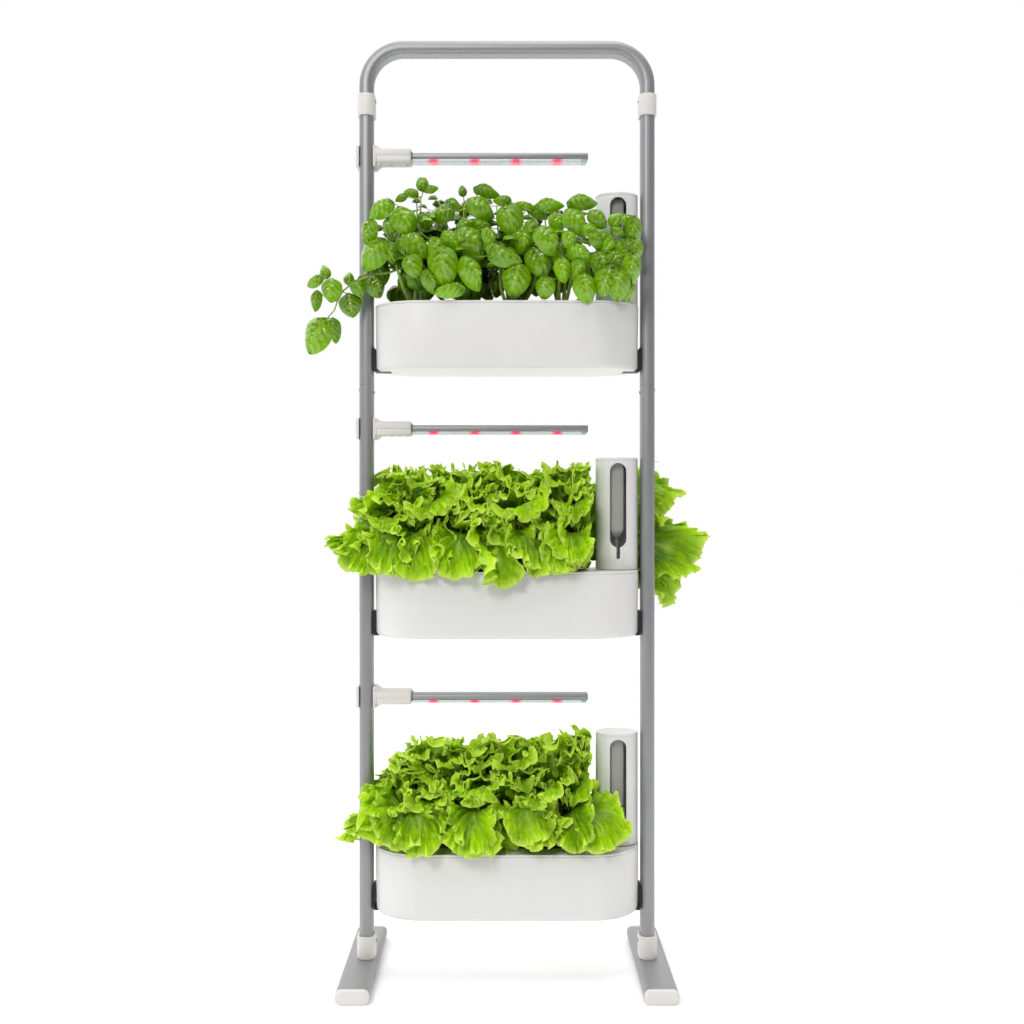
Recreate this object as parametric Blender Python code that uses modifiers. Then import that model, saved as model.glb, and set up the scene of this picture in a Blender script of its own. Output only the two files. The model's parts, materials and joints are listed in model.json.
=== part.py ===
"""Vertical hydroponic garden: three planters with water towers and grow lamps between two steel posts.

Metres, +Z up, +X right, front at -Y. The origin is on the floor, in the middle of the footprint.
Every tier is alike, so its pieces are modelled once, in the planter's, the tower's or the lamp's own
frame, and are then placed three times on empties.
"""

import math

import bmesh
import bpy
from mathutils import Matrix, Vector

# Running clearances

FIT_GAP = 0.0003
SLIDE_GAP = 0.0004
OVERCUT = 0.004
WELD_DISTANCE = 0.000001

# Frame: flat-oval steel tube

FRAME_HEIGHT = 1.500
POST_SPACING = 0.454
POST_WIDTH = 0.022
POST_DEPTH = 0.038
POST_CORNER = 0.0095
TUBE_WALL = 0.0015
HOOP_BEND = 0.060
SLEEVE_JOINT_DROP = 0.1035
SLEEVE_HEIGHT = 0.035
SLEEVE_WALL = 0.0028
SLEEVE_STOP_HEIGHT = 0.002
SLEEVE_STOP_DEPTH = 0.0014
SLEEVE_EDGE = 0.001
POST_JOINT_SHARE = 0.63
SPIGOT_LENGTH = 0.045
SOCKET_HEIGHT = 0.0365
SOCKET_WALL = 0.0033
SOCKET_FLOOR = 0.003
SOCKET_EDGE = 0.0012

# Feet: flat-oval tube on its side, closed by plugs

FOOT_LENGTH = 0.318
FOOT_WIDTH = 0.052
FOOT_HEIGHT = 0.022
FOOT_CORNER = 0.009
FOOT_WALL = 0.0016
FOOT_OUTSET = 0.0065
FOOT_CAP_THICKNESS = 0.009
FOOT_CAP_EDGE = 0.0022
FOOT_PLUG_LENGTH = 0.012

# Planters: height of each deck's top as a share of the frame's height, as the photograph has them

DECK_SHARE_LOW = 0.137467
DECK_SHARE_MIDDLE = 0.4318
DECK_SHARE_TOP = 0.714667
TUB_DEPTH = 0.162
TUB_HEIGHT = 0.1055
TUB_DRAFT = 0.0016
TUB_WALL = 0.0025
TUB_FLOOR_ROUND = 0.007

DECK_THICKNESS = 0.0034
DECK_EDGE = 0.0008
DECK_RIB_HEIGHT = 0.008
DECK_RIB_WALL = 0.0018
DECK_RIB_GAP = 0.0005
DECK_RIB_WIDTH = 0.030

TRAY_DEPTH = 0.076
TRAY_CORNER = 0.020
TRAY_END_MARGIN = 0.024
TRAY_TOWER_MARGIN = 0.016
TRAY_FLANGE = 0.003
TRAY_PLATE = 0.0017
CUP_COUNT = 4
CUP_RADIUS = 0.025
CUP_BASE_RADIUS = 0.018
CUP_DEPTH = 0.046
CUP_WALL = 0.0015
CUP_SLOT_WIDTH = 0.005
CUP_SLOT_HEIGHT = 0.026

BRACKET_PLATE = 0.003
BRACKET_HEIGHT = 0.039
BRACKET_WIDTH = 0.034
BRACKET_LEDGE = 0.004
BRACKET_REACH = 0.028
BRACKET_FILLET = 0.0025

# Water towers

TOWER_RADIUS = 0.034
TOWER_HEIGHT = 0.180
TOWER_EDGE_MARGIN = 0.0009
TOWER_WALL = 0.0022
TOWER_FLOOR = 0.0025
TOWER_GROOVE_HEIGHT = 0.0014
TOWER_GROOVE_DEPTH = 0.0025
TOWER_SPIGOT_RADIUS = 0.028
TOWER_SPIGOT_LENGTH = 0.009
TOWER_SPIGOT_WALL = 0.0022
DRAIN_RADIUS = 0.004
DRAIN_CIRCLE_RADIUS = 0.014
DRAIN_COUNT = 4
WINDOW_WIDTH = 0.026
WINDOW_TOP_DROP = 0.0087
WINDOW_BOTTOM_DROP = 0.1435
WINDOW_SLOT_WIDTH = 0.0057
WINDOW_SLOT_BOTTOM_DROP = 0.162

CAP_THICKNESS = 0.004
CAP_EDGE = 0.0014
CAP_DISH_RADIUS = 0.0285
CAP_DISH_DEPTH = 0.0008
CAP_SKIRT_LENGTH = 0.0035
CAP_SKIRT_WALL = 0.0016

GAUGE_RADIUS = 0.011
GAUGE_EDGE = 0.0015
GAUGE_TOP_DROP = 0.0085
GAUGE_SHOULDER_DROP = 0.117
GAUGE_NECK_DROP = 0.131
GAUGE_STEM_RADIUS = 0.003
FLOAT_RADIUS = 0.021
FLOAT_HEIGHT = 0.014
FLOAT_DROP = 0.003
FLOAT_EDGE = 0.003

# Grow lamps: height of the arm's middle as a share of the frame's height

LAMP_SHARE_LOW = 0.295
LAMP_SHARE_MIDDLE = 0.583333
LAMP_SHARE_TOP = 0.876
CLAMP_HEIGHT = 0.034
CLAMP_CHEEK = 0.0055
CLAMP_BACK = 0.006
CLAMP_WRAP = 0.017
CLAMP_EDGE = 0.0015
CLAMP_CORNER = 0.004
ARM_LENGTH = 0.0565
ARM_HEIGHT = 0.023
ARM_DEPTH = 0.038
ARM_EDGE = 0.004
ARM_GUSSET = 0.009
BAR_LENGTH = 0.304
BAR_INSERT = 0.020
BAR_DEPTH = 0.030
BAR_HEIGHT = 0.0113
BAR_EDGE = 0.0025
BAR_WALL = 0.0015
BOARD_THICKNESS = 0.0016
DIFFUSER_DEPTH = 0.0055
DIFFUSER_PROUD = 0.0035
DIFFUSER_EDGE = 0.0015
LAMP_DOWN_LOW = 0.025
LAMP_DOWN_MIDDLE = 0.030
LAMP_DOWN_TOP = 0.018

# Plants

PLANT_CLEARANCE = 0.002
FOLIAGE_REACH = 0.333
CUP_FILL_GAP = 0.0005
PLUG_HEIGHT = 0.030
STEM_RADIUS = 0.005
LEAF_THICKNESS = 0.016
BASIL_LEAF_LENGTH = 0.062
BASIL_LEAF_WIDTH = 0.050
LETTUCE_LEAF_LENGTH = 0.100
LETTUCE_LEAF_WIDTH = 0.096
LEAF_COUNT = 6
GOLDEN_ANGLE = math.radians(137.508)

# Smoothness of the facets

CORNER_STEPS = 3
BEND_STEPS = 6
END_STEPS = 10
TURN_STEPS = 20
SMALL_TURN_STEPS = 12
CUP_STEPS = 8
LEAF_STEPS = 8
CROWN_STEPS = 12
CROWN_ROWS_COUNT = 6
CROWN_FULLNESS = 0.72
SHARP_ANGLE = math.radians(38)

# Worked out from the sizes above

POST_X = POST_SPACING / 2
POST_JOINT_Z = POST_JOINT_SHARE * FRAME_HEIGHT
SLEEVE_JOINT_Z = FRAME_HEIGHT - SLEEVE_JOINT_DROP
SOCKET_BASE_Z = FOOT_HEIGHT + FIT_GAP
POST_BASE_Z = SOCKET_BASE_Z + SOCKET_FLOOR + FIT_GAP
TUB_HALF_LENGTH = POST_X - POST_WIDTH / 2 - BRACKET_PLATE - 2 * FIT_GAP
TUB_HALF_DEPTH = TUB_DEPTH / 2
TUB_RIM = -DECK_THICKNESS - FIT_GAP
TUB_BASE = -TUB_HEIGHT
TOWER_X = TUB_HALF_LENGTH - TOWER_RADIUS - TOWER_EDGE_MARGIN
TRAY_LEFT = -TUB_HALF_LENGTH + TRAY_END_MARGIN
TRAY_RIGHT = TOWER_X - TOWER_RADIUS - TRAY_TOWER_MARGIN
TRAY_LENGTH = TRAY_RIGHT - TRAY_LEFT
TRAY_X = (TRAY_RIGHT + TRAY_LEFT) / 2
CUP_PITCH = TRAY_LENGTH / CUP_COUNT
CUP_XS = [TRAY_LEFT + CUP_PITCH * (index + 1 / 2) for index in range(CUP_COUNT)]
CLAMP_INNER = POST_WIDTH / 2 + SLIDE_GAP
ARM_START = CLAMP_INNER + CLAMP_CHEEK
ARM_END = ARM_START + ARM_LENGTH
BAR_START = ARM_END - BAR_INSERT
BAR_END = BAR_START + BAR_LENGTH

# Height of the deck, height of the lamp and how far the lamp comes down over the plants
TIERS = {
    "low": (DECK_SHARE_LOW * FRAME_HEIGHT, LAMP_SHARE_LOW * FRAME_HEIGHT, LAMP_DOWN_LOW),
    "middle": (DECK_SHARE_MIDDLE * FRAME_HEIGHT, LAMP_SHARE_MIDDLE * FRAME_HEIGHT, LAMP_DOWN_MIDDLE),
    "top": (DECK_SHARE_TOP * FRAME_HEIGHT, LAMP_SHARE_TOP * FRAME_HEIGHT, LAMP_DOWN_TOP),
}


# The scene and its collections

for old in list(bpy.data.objects):
    bpy.data.objects.remove(old)

parts = bpy.data.collections.new("hydroponic_garden")
cutters = bpy.data.collections.new("cutters")
for group in (parts, cutters):
    bpy.context.scene.collection.children.link(group)


def colour(hex_value):
    """Linear colour of an sRGB hex value."""
    channels = [int(hex_value[place:place + 2], 16) / 255 for place in (1, 3, 5)]
    linear = [c / 12.92 if c <= 0.04045 else ((c + 0.055) / 1.055) ** 2.4 for c in channels]
    return (*linear, 1)


def finish(name, hex_value, roughness, metallic=0.0, transmission=0.0):
    made = bpy.data.materials.new(name)
    made.use_nodes = True
    shader = made.node_tree.nodes["Principled BSDF"]
    shader.inputs["Base Color"].default_value = colour(hex_value)
    shader.inputs["Roughness"].default_value = roughness
    shader.inputs["Metallic"].default_value = metallic
    shader.inputs["Transmission Weight"].default_value = transmission
    made.diffuse_color = colour(hex_value)
    return made


GREY_STEEL = finish("powder_coated_steel", "#8f8f90", 0.42)
GREY_ALUMINIUM = finish("grey_aluminium", "#86868a", 0.38, metallic=0.6)
WHITE_ABS = finish("white_abs", "#e6e5e3", 0.38)
WHITE_NYLON = finish("white_nylon", "#e9e6e2", 0.5)
BLACK_PLASTIC = finish("black_polypropylene", "#1d1d1f", 0.55)
GREY_GAUGE = finish("grey_gauge", "#8f8e8a", 0.45)
BOARD_WHITE = finish("board_white", "#f1f1f1", 0.5)
CLEAR_PLASTIC = finish("clear_polycarbonate", "#f4f6f8", 0.12, transmission=0.9)
BASIL_GREEN = finish("basil_leaf", "#3f7a12", 0.5)
LETTUCE_GREEN = finish("lettuce_leaf", "#84b22a", 0.5)


# Modelling helpers

def add_object(name, data, group=cutters):
    made = bpy.data.objects.new(name, data)
    group.objects.link(made)
    if group is cutters:
        made.hide_render = True
        made.display_type = "WIRE"
    return made


def from_bmesh(name, cage):
    """A mesh object from a bmesh, welded, with its faces pointing out."""
    bmesh.ops.remove_doubles(cage, verts=cage.verts, dist=WELD_DISTANCE)
    bmesh.ops.recalc_face_normals(cage, faces=cage.faces)
    mesh = bpy.data.meshes.new(name)
    cage.to_mesh(mesh)
    cage.free()
    return add_object(name, mesh)


def bake(piece):
    """The piece as its modifiers show it, as a plain welded mesh object under the same name."""
    graph = bpy.context.evaluated_depsgraph_get()
    seen = bpy.data.meshes.new_from_object(piece.evaluated_get(graph))
    cage = bmesh.new()
    cage.from_mesh(seen)
    cage.transform(piece.matrix_world)
    bpy.data.meshes.remove(seen)
    name = piece.name
    bpy.data.objects.remove(piece)
    return from_bmesh(name, cage)


def combine(piece, tool, operation):
    """The piece joined with, cut by or limited to the tool, which is used up."""
    step = piece.modifiers.new(operation.lower(), "BOOLEAN")
    step.operation = operation
    step.solver = "EXACT"
    step.object = tool
    made = bake(piece)
    bpy.data.objects.remove(tool)
    return made


def cut(piece, *tools):
    for tool in tools:
        piece = combine(piece, tool, "DIFFERENCE")
    return piece


def join(piece, *others):
    for other in others:
        piece = combine(piece, other, "UNION")
    return piece


def group_solids(name, *pieces):
    """Solids that stay apart, gathered in one object to cut or join with at once."""
    cage = bmesh.new()
    for piece in pieces:
        cage.from_mesh(piece.data)
        bpy.data.objects.remove(piece)
    return from_bmesh(name, cage)


def round_edges(piece, width, segments=1, angle=math.radians(60)):
    step = piece.modifiers.new("edges", "BEVEL")
    step.width = width
    step.segments = segments
    step.limit_method = "ANGLE"
    step.angle_limit = angle
    return bake(piece)


def box(name, low, high):
    """An upright box between two corners."""
    cage = bmesh.new()
    bmesh.ops.create_cube(cage, size=1)
    low, high = Vector(low), Vector(high)
    cage.transform(Matrix.Translation((low + high) / 2) @ Matrix.Diagonal((*(high - low), 1)))
    return from_bmesh(name, cage)


def cylinder(name, radius, low, high, x=0, y=0, steps=SMALL_TURN_STEPS, top_radius=None, turn=0.0):
    """An upright cylinder with a corner toward +X, or a cone when the radius at its top differs."""
    cage = bmesh.new()
    bmesh.ops.create_cone(
        cage,
        cap_ends=True,
        segments=steps,
        radius1=radius,
        radius2=radius if top_radius is None else top_radius,
        depth=high - low,
    )
    cage.transform(
        Matrix.Translation((x, y, (low + high) / 2)) @ Matrix.Rotation(turn - math.pi / 2, 4, "Z")
    )
    return from_bmesh(name, cage)


def prism(name, outlines, low, high):
    """A flat outline, with any holes in it as further outlines, pulled up from low to high."""
    curve = bpy.data.curves.new(name, "CURVE")
    curve.dimensions = "2D"
    curve.fill_mode = "BOTH"
    curve.extrude = (high - low) / 2
    for outline in outlines:
        spline = curve.splines.new("POLY")
        spline.points.add(len(outline) - 1)
        for point, (x, y) in zip(spline.points, outline):
            point.co = (x, y, 0, 1)
        spline.use_cyclic_u = True
    made = add_object(name, curve)
    made.location.z = (low + high) / 2
    bpy.context.view_layer.update()
    return bake(made)


def loft(name, rings, closed=False):
    """A skin over rings of equally many points, capped at both ends or closed into itself."""
    cage = bmesh.new()
    loops = [[cage.verts.new(point) for point in ring] for ring in rings]
    followers = loops[1:] + [loops[0]] if closed else loops[1:]
    for lower, upper in zip(loops, followers):
        for index, vertex in enumerate(lower):
            after = (index + 1) % len(lower)
            cage.faces.new((vertex, lower[after], upper[after], upper[index]))
    if not closed:
        cage.faces.new(loops[0])
        cage.faces.new(loops[-1])
    return from_bmesh(name, cage)


def turned(name, profile, steps=TURN_STEPS, closed=False):
    """A profile of (radius, height) points turned about Z: closed for a ring, else from axis to axis."""
    mesh = bpy.data.meshes.new(name)
    edges = [(index, index + 1) for index in range(len(profile) - 1)]
    if closed:
        edges.append((len(profile) - 1, 0))
    mesh.from_pydata([(radius, 0, height) for radius, height in profile], edges, [])
    made = add_object(name, mesh)
    turn = made.modifiers.new("turn", "SCREW")
    turn.axis = "Z"
    turn.steps = steps
    turn.render_steps = steps
    turn.use_merge_vertices = True
    turn.merge_threshold = WELD_DISTANCE
    return bake(made)


def moved(piece, matrix):
    piece.data.transform(matrix)
    return piece


def ring_at(outline, z):
    return [Vector((x, y, z)) for x, y in outline]


def rounded(width, depth, corner):
    """Outline of a rectangle with rounded corners, centred on the origin."""
    outline = []
    for quarter, (side_x, side_y) in enumerate(((1, 1), (-1, 1), (-1, -1), (1, -1))):
        centre_x = side_x * (width / 2 - corner)
        centre_y = side_y * (depth / 2 - corner)
        for step in range(CORNER_STEPS + 1):
            angle = (quarter + step / CORNER_STEPS) * math.pi / 2
            outline.append((centre_x + corner * math.cos(angle), centre_y + corner * math.sin(angle)))
    return outline


def stadium(inset=0.0):
    """Outline of the planter, two half circles and two straights, drawn in by an inset."""
    radius = TUB_HALF_DEPTH - inset
    outline = []
    for side in (1, -1):
        centre = side * (TUB_HALF_LENGTH - TUB_HALF_DEPTH)
        for step in range(END_STEPS + 1):
            angle = (step / END_STEPS - side / 2) * math.pi
            outline.append((centre + radius * math.cos(angle), radius * math.sin(angle)))
    return outline


def tube_section(inset=0.0):
    """Section of the frame's tube, drawn in by an inset or grown by a negative one."""
    return rounded(POST_WIDTH - 2 * inset, POST_DEPTH - 2 * inset, POST_CORNER - inset)


def foot_section(inset=0.0):
    return rounded(FOOT_WIDTH - 2 * inset, FOOT_HEIGHT - 2 * inset, FOOT_CORNER - inset)


# Frame pieces, in the frame of the post they belong to

def lower_post():
    return prism("lower_post", [tube_section(), tube_section(TUBE_WALL)], POST_BASE_Z, POST_JOINT_Z)


def upper_post():
    """The upper post, whose swaged lower end enters the lower post."""
    shoulder = POST_JOINT_Z + FIT_GAP
    spigot_base = POST_JOINT_Z - SPIGOT_LENGTH
    spigot = tube_section(TUBE_WALL + FIT_GAP)
    spigot_bore = tube_section(2 * TUBE_WALL + FIT_GAP)
    bore = tube_section(TUBE_WALL)
    top = SLEEVE_JOINT_Z - SLEEVE_STOP_HEIGHT / 2 - FIT_GAP
    rings = [
        ring_at(spigot, spigot_base),
        ring_at(spigot, shoulder),
        ring_at(tube_section(), shoulder),
        ring_at(tube_section(), top),
        ring_at(bore, top),
        ring_at(bore, shoulder + TUBE_WALL),
        ring_at(spigot_bore, shoulder),
        ring_at(spigot_bore, spigot_base),
    ]
    return loft("upper_post", rings, closed=True)


def top_hoop():
    """The bent tube that closes the frame: its section drawn along a path of straights and two bends."""
    ends_z = SLEEVE_JOINT_Z + SLEEVE_STOP_HEIGHT / 2 + FIT_GAP
    top_z = FRAME_HEIGHT - POST_WIDTH / 2
    bend_z = top_z - HOOP_BEND
    right = [(POST_X, ends_z)]
    for step in range(BEND_STEPS + 1):
        angle = step / BEND_STEPS * math.pi / 2
        right.append((
            POST_X - HOOP_BEND + HOOP_BEND * math.cos(angle),
            bend_z + HOOP_BEND * math.sin(angle),
        ))
    path_points = right + [(-x, z) for x, z in reversed(right)]

    section = bpy.data.curves.new("hoop_section", "CURVE")
    section.dimensions = "2D"
    path = bpy.data.curves.new("hoop_path", "CURVE")
    path.dimensions = "2D"
    path.fill_mode = "NONE"
    for curve, points in ((section, tube_section()), (path, path_points)):
        spline = curve.splines.new("POLY")
        spline.points.add(len(points) - 1)
        for point, (across, along) in zip(spline.points, points):
            point.co = (across, along, 0, 1)
        spline.use_cyclic_u = curve is section
    section_object = add_object("hoop_section", section)
    path.bevel_mode = "OBJECT"
    path.bevel_object = section_object
    hoop = add_object("hoop", path)
    hoop.rotation_euler.x = math.pi / 2
    bpy.context.view_layer.update()
    skin = bake(hoop)
    bpy.data.objects.remove(section_object)
    wall = skin.modifiers.new("wall", "SOLIDIFY")
    wall.thickness = TUBE_WALL
    wall.offset = -1
    wall.use_even_offset = True
    return bake(skin)


def sleeve():
    """White collar over the joint of hoop and post, with an inner stop between the two tube ends."""
    half = SLEEVE_HEIGHT / 2
    stop = SLEEVE_STOP_HEIGHT / 2
    outside = tube_section(-SLEEVE_WALL - FIT_GAP)
    outside_edge = tube_section(-SLEEVE_WALL - FIT_GAP + SLEEVE_EDGE)
    bore = tube_section(-FIT_GAP)
    stop_bore = tube_section(SLEEVE_STOP_DEPTH)
    rings = [
        ring_at(outside_edge, -half),
        ring_at(outside, -half + SLEEVE_EDGE),
        ring_at(outside, half - SLEEVE_EDGE),
        ring_at(outside_edge, half),
        ring_at(bore, half),
        ring_at(bore, stop),
        ring_at(stop_bore, stop),
        ring_at(stop_bore, -stop),
        ring_at(bore, -stop),
        ring_at(bore, -half),
    ]
    return loft("sleeve", rings, closed=True)


def socket():
    """White cup on the foot that the post stands in."""
    outside = tube_section(-SOCKET_WALL - FIT_GAP)
    outside_edge = tube_section(-SOCKET_WALL - FIT_GAP + SOCKET_EDGE)
    bore = tube_section(-FIT_GAP)
    rings = [
        ring_at(outside, 0),
        ring_at(outside, SOCKET_HEIGHT - SOCKET_EDGE),
        ring_at(outside_edge, SOCKET_HEIGHT),
        ring_at(bore, SOCKET_HEIGHT),
        ring_at(bore, SOCKET_FLOOR),
    ]
    return loft("socket", rings)


def lay_down(piece):
    """Turns a piece made upright so that its length runs along Y."""
    return moved(piece, Matrix.Rotation(math.pi / 2, 4, "X"))


def foot():
    half = FOOT_LENGTH / 2 - FOOT_CAP_THICKNESS - FIT_GAP
    return lay_down(prism("foot", [foot_section(), foot_section(FOOT_WALL)], -half, half))


def foot_cap():
    """White plug in the foot's front end: a rounded face and a part that enters the tube."""
    face = FOOT_LENGTH / 2
    seat = face - FOOT_CAP_THICKNESS
    plug = foot_section(FOOT_WALL + FIT_GAP)
    rings = [
        ring_at(foot_section(FOOT_CAP_EDGE), face),
        ring_at(foot_section(), face - FOOT_CAP_EDGE),
        ring_at(foot_section(), seat),
        ring_at(plug, seat),
        ring_at(plug, seat - FOOT_PLUG_LENGTH),
    ]
    return lay_down(loft("foot_cap", rings))


# Planter pieces, with the deck's top at height zero

def tub_skin(name, inset, base, rim):
    """The tub's outer skin, or its cavity when drawn in by the wall: round floor edge and draft."""
    edge = TUB_FLOOR_ROUND - inset
    rings = []
    for step in range(3):
        angle = step / 2 * math.pi / 2
        drawn = edge * (1 - math.sin(angle))
        rise = edge * (1 - math.cos(angle))
        rings.append(ring_at(stadium(inset + TUB_DRAFT + drawn), base + rise))
    rings.append(ring_at(stadium(inset), rim))
    return loft(name, rings)


def bracket_pockets(grow, top):
    """Boxes where the two bracket ledges enter the tub's underside, grown for the wall over them."""
    inner = TUB_HALF_LENGTH + BRACKET_PLATE - BRACKET_REACH - 2 * FIT_GAP - grow
    half = BRACKET_WIDTH / 2 + 2 * FIT_GAP + grow
    return group_solids("pockets", *[
        box(
            "pocket",
            (min(side * inner, side * (TUB_HALF_LENGTH + OVERCUT)), -half, TUB_BASE - OVERCUT),
            (max(side * inner, side * (TUB_HALF_LENGTH + OVERCUT)), half, top),
        )
        for side in (-1, 1)
    ])


def planter_tub():
    """White tub with round ends, open at the top, its floor raised over the bracket ledges."""
    pocket_top = TUB_BASE + BRACKET_LEDGE + FIT_GAP
    cavity = tub_skin("cavity", TUB_WALL, TUB_BASE + TUB_WALL, TUB_RIM + OVERCUT)
    cavity = cut(cavity, bracket_pockets(TUB_WALL, pocket_top + TUB_WALL))
    return cut(
        tub_skin("planter_tub", 0, TUB_BASE, TUB_RIM),
        cavity,
        bracket_pockets(0, pocket_top),
    )


def deck_ribs():
    """Ribs under the deck that lie inside the tub's rim: along both sides and at the end without tower."""
    low, high = -DECK_THICKNESS - DECK_RIB_HEIGHT, -DECK_THICKNESS / 2
    inset = TUB_WALL + DECK_RIB_GAP
    side_half = TUB_HALF_LENGTH - TUB_HALF_DEPTH
    side_y = TUB_HALF_DEPTH - inset
    end_half = DECK_RIB_WIDTH / 2
    end_radius = (TUB_HALF_DEPTH - inset) * math.cos(math.pi / END_STEPS / 2)
    end_x = side_half + math.sqrt(end_radius ** 2 - end_half ** 2)
    ribs = [box("rib", (-end_x, -end_half, low), (-end_x + DECK_RIB_WALL, end_half, high))]
    for side in (-1, 1):
        ys = sorted((side * side_y, side * (side_y - DECK_RIB_WALL)))
        ribs.append(box("rib", (-side_half, ys[0], low), (side_half, ys[1], high)))
    return group_solids("ribs", *ribs)


def planter_deck():
    """White lid on the tub's rim, with ribs inside the rim, a rebate for the tray and a tower seat."""
    edge = stadium(DECK_EDGE)
    plate = loft("planter_deck", [
        ring_at(stadium(), -DECK_THICKNESS),
        ring_at(stadium(), -DECK_EDGE),
        ring_at(edge, 0),
    ])
    plate = join(plate, deck_ribs())
    opening = rounded(TRAY_LENGTH, TRAY_DEPTH, TRAY_CORNER)
    grown = 2 * (TRAY_FLANGE + FIT_GAP)
    rebate = rounded(TRAY_LENGTH + grown, TRAY_DEPTH + grown, TRAY_CORNER + TRAY_FLANGE + FIT_GAP)
    shift = Matrix.Translation((TRAY_X, 0, 0))
    return cut(
        plate,
        moved(prism("rebate", [rebate], -TRAY_PLATE - FIT_GAP, OVERCUT), shift),
        moved(prism("opening", [opening], -DECK_THICKNESS - OVERCUT, OVERCUT), shift),
        cylinder(
            "tower_seat",
            TOWER_SPIGOT_RADIUS + FIT_GAP,
            -DECK_THICKNESS - OVERCUT,
            OVERCUT,
            x=TOWER_X,
            steps=TURN_STEPS,
        ),
    )


def grow_tray():
    """Black tray let into the deck, with the slotted net cups that hold the roots over the water."""
    flange = rounded(
        TRAY_LENGTH + 2 * TRAY_FLANGE, TRAY_DEPTH + 2 * TRAY_FLANGE, TRAY_CORNER + TRAY_FLANGE
    )
    tray = moved(prism("grow_tray", [flange], -TRAY_PLATE, 0), Matrix.Translation((TRAY_X, 0, 0)))
    walls, hollows, slots = [], [], {"x": [], "y": []}
    slope = (CUP_RADIUS - CUP_BASE_RADIUS) / CUP_DEPTH
    for x in CUP_XS:
        walls.append(cylinder(
            "cup", CUP_BASE_RADIUS, -CUP_DEPTH, -TRAY_PLATE / 2, x=x, steps=CUP_STEPS,
            top_radius=CUP_RADIUS - slope * TRAY_PLATE / 2, turn=math.pi / CUP_STEPS,
        ))
        hollows.append(cylinder(
            "hollow", CUP_BASE_RADIUS - CUP_WALL + slope * CUP_WALL, -CUP_DEPTH + CUP_WALL, OVERCUT,
            x=x, steps=CUP_STEPS, top_radius=CUP_RADIUS - CUP_WALL + slope * OVERCUT,
            turn=math.pi / CUP_STEPS,
        ))
        half_slot, reach = CUP_SLOT_WIDTH / 2, CUP_RADIUS + OVERCUT
        slot_low, slot_high = -CUP_DEPTH - OVERCUT, -CUP_DEPTH + CUP_SLOT_HEIGHT
        slots["x"].append(box("slot", (x - reach, -half_slot, slot_low), (x + reach, half_slot, slot_high)))
        slots["y"].append(box("slot", (x - half_slot, -reach, slot_low), (x + half_slot, reach, slot_high)))
    tray = join(tray, group_solids("cups", *walls))
    return cut(
        tray,
        group_solids("hollows", *hollows),
        group_solids("slots_x", *slots["x"]),
        group_solids("slots_y", *slots["y"]),
    )


def bracket():
    """Black angle with its back on the post at X zero and its ledge under the tub at height zero."""
    plate, ledge, fillet = BRACKET_PLATE, BRACKET_LEDGE, BRACKET_FILLET
    outline = [(0, fillet), (fillet, 0), (BRACKET_REACH - fillet / 2, 0), (BRACKET_REACH, fillet / 2)]
    outline += [(BRACKET_REACH, ledge), (plate + fillet / 2, ledge), (plate, ledge + fillet / 2)]
    outline += [(plate, BRACKET_HEIGHT - fillet / 2), (plate - fillet / 2, BRACKET_HEIGHT), (0, BRACKET_HEIGHT)]
    return lay_down(prism("bracket", [outline], -BRACKET_WIDTH / 2, BRACKET_WIDTH / 2))


# Tower pieces, with their axis at X zero and the deck's top at height zero

def keyhole():
    """Cutter for the tower's window: a tall slot with round ends over a narrow slot for the neck."""
    top, bottom = TOWER_HEIGHT - WINDOW_TOP_DROP, TOWER_HEIGHT - WINDOW_BOTTOM_DROP
    slot_bottom = TOWER_HEIGHT - WINDOW_SLOT_BOTTOM_DROP
    half, slot_half = WINDOW_WIDTH / 2, WINDOW_SLOT_WIDTH / 2
    meet = math.asin(slot_half / half)
    outline = []
    for step in range(2 * CORNER_STEPS + 1):
        angle = step / (2 * CORNER_STEPS) * math.pi
        outline.append((half * math.cos(angle), top - half + half * math.sin(angle)))
    for step in range(CORNER_STEPS + 1):
        angle = math.pi + step / CORNER_STEPS * (math.pi / 2 - meet)
        outline.append((half * math.cos(angle), bottom + half + half * math.sin(angle)))
    for step in range(CORNER_STEPS + 1):
        angle = math.pi + step / CORNER_STEPS * math.pi
        outline.append((slot_half * math.cos(angle), slot_bottom + slot_half + slot_half * math.sin(angle)))
    for step in range(CORNER_STEPS + 1):
        angle = -math.pi / 2 + meet + step / CORNER_STEPS * (math.pi / 2 - meet)
        outline.append((half * math.cos(angle), bottom + half + half * math.sin(angle)))
    return lay_down(prism("window", [outline], TOWER_RADIUS / 2, TOWER_RADIUS + OVERCUT))


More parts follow.
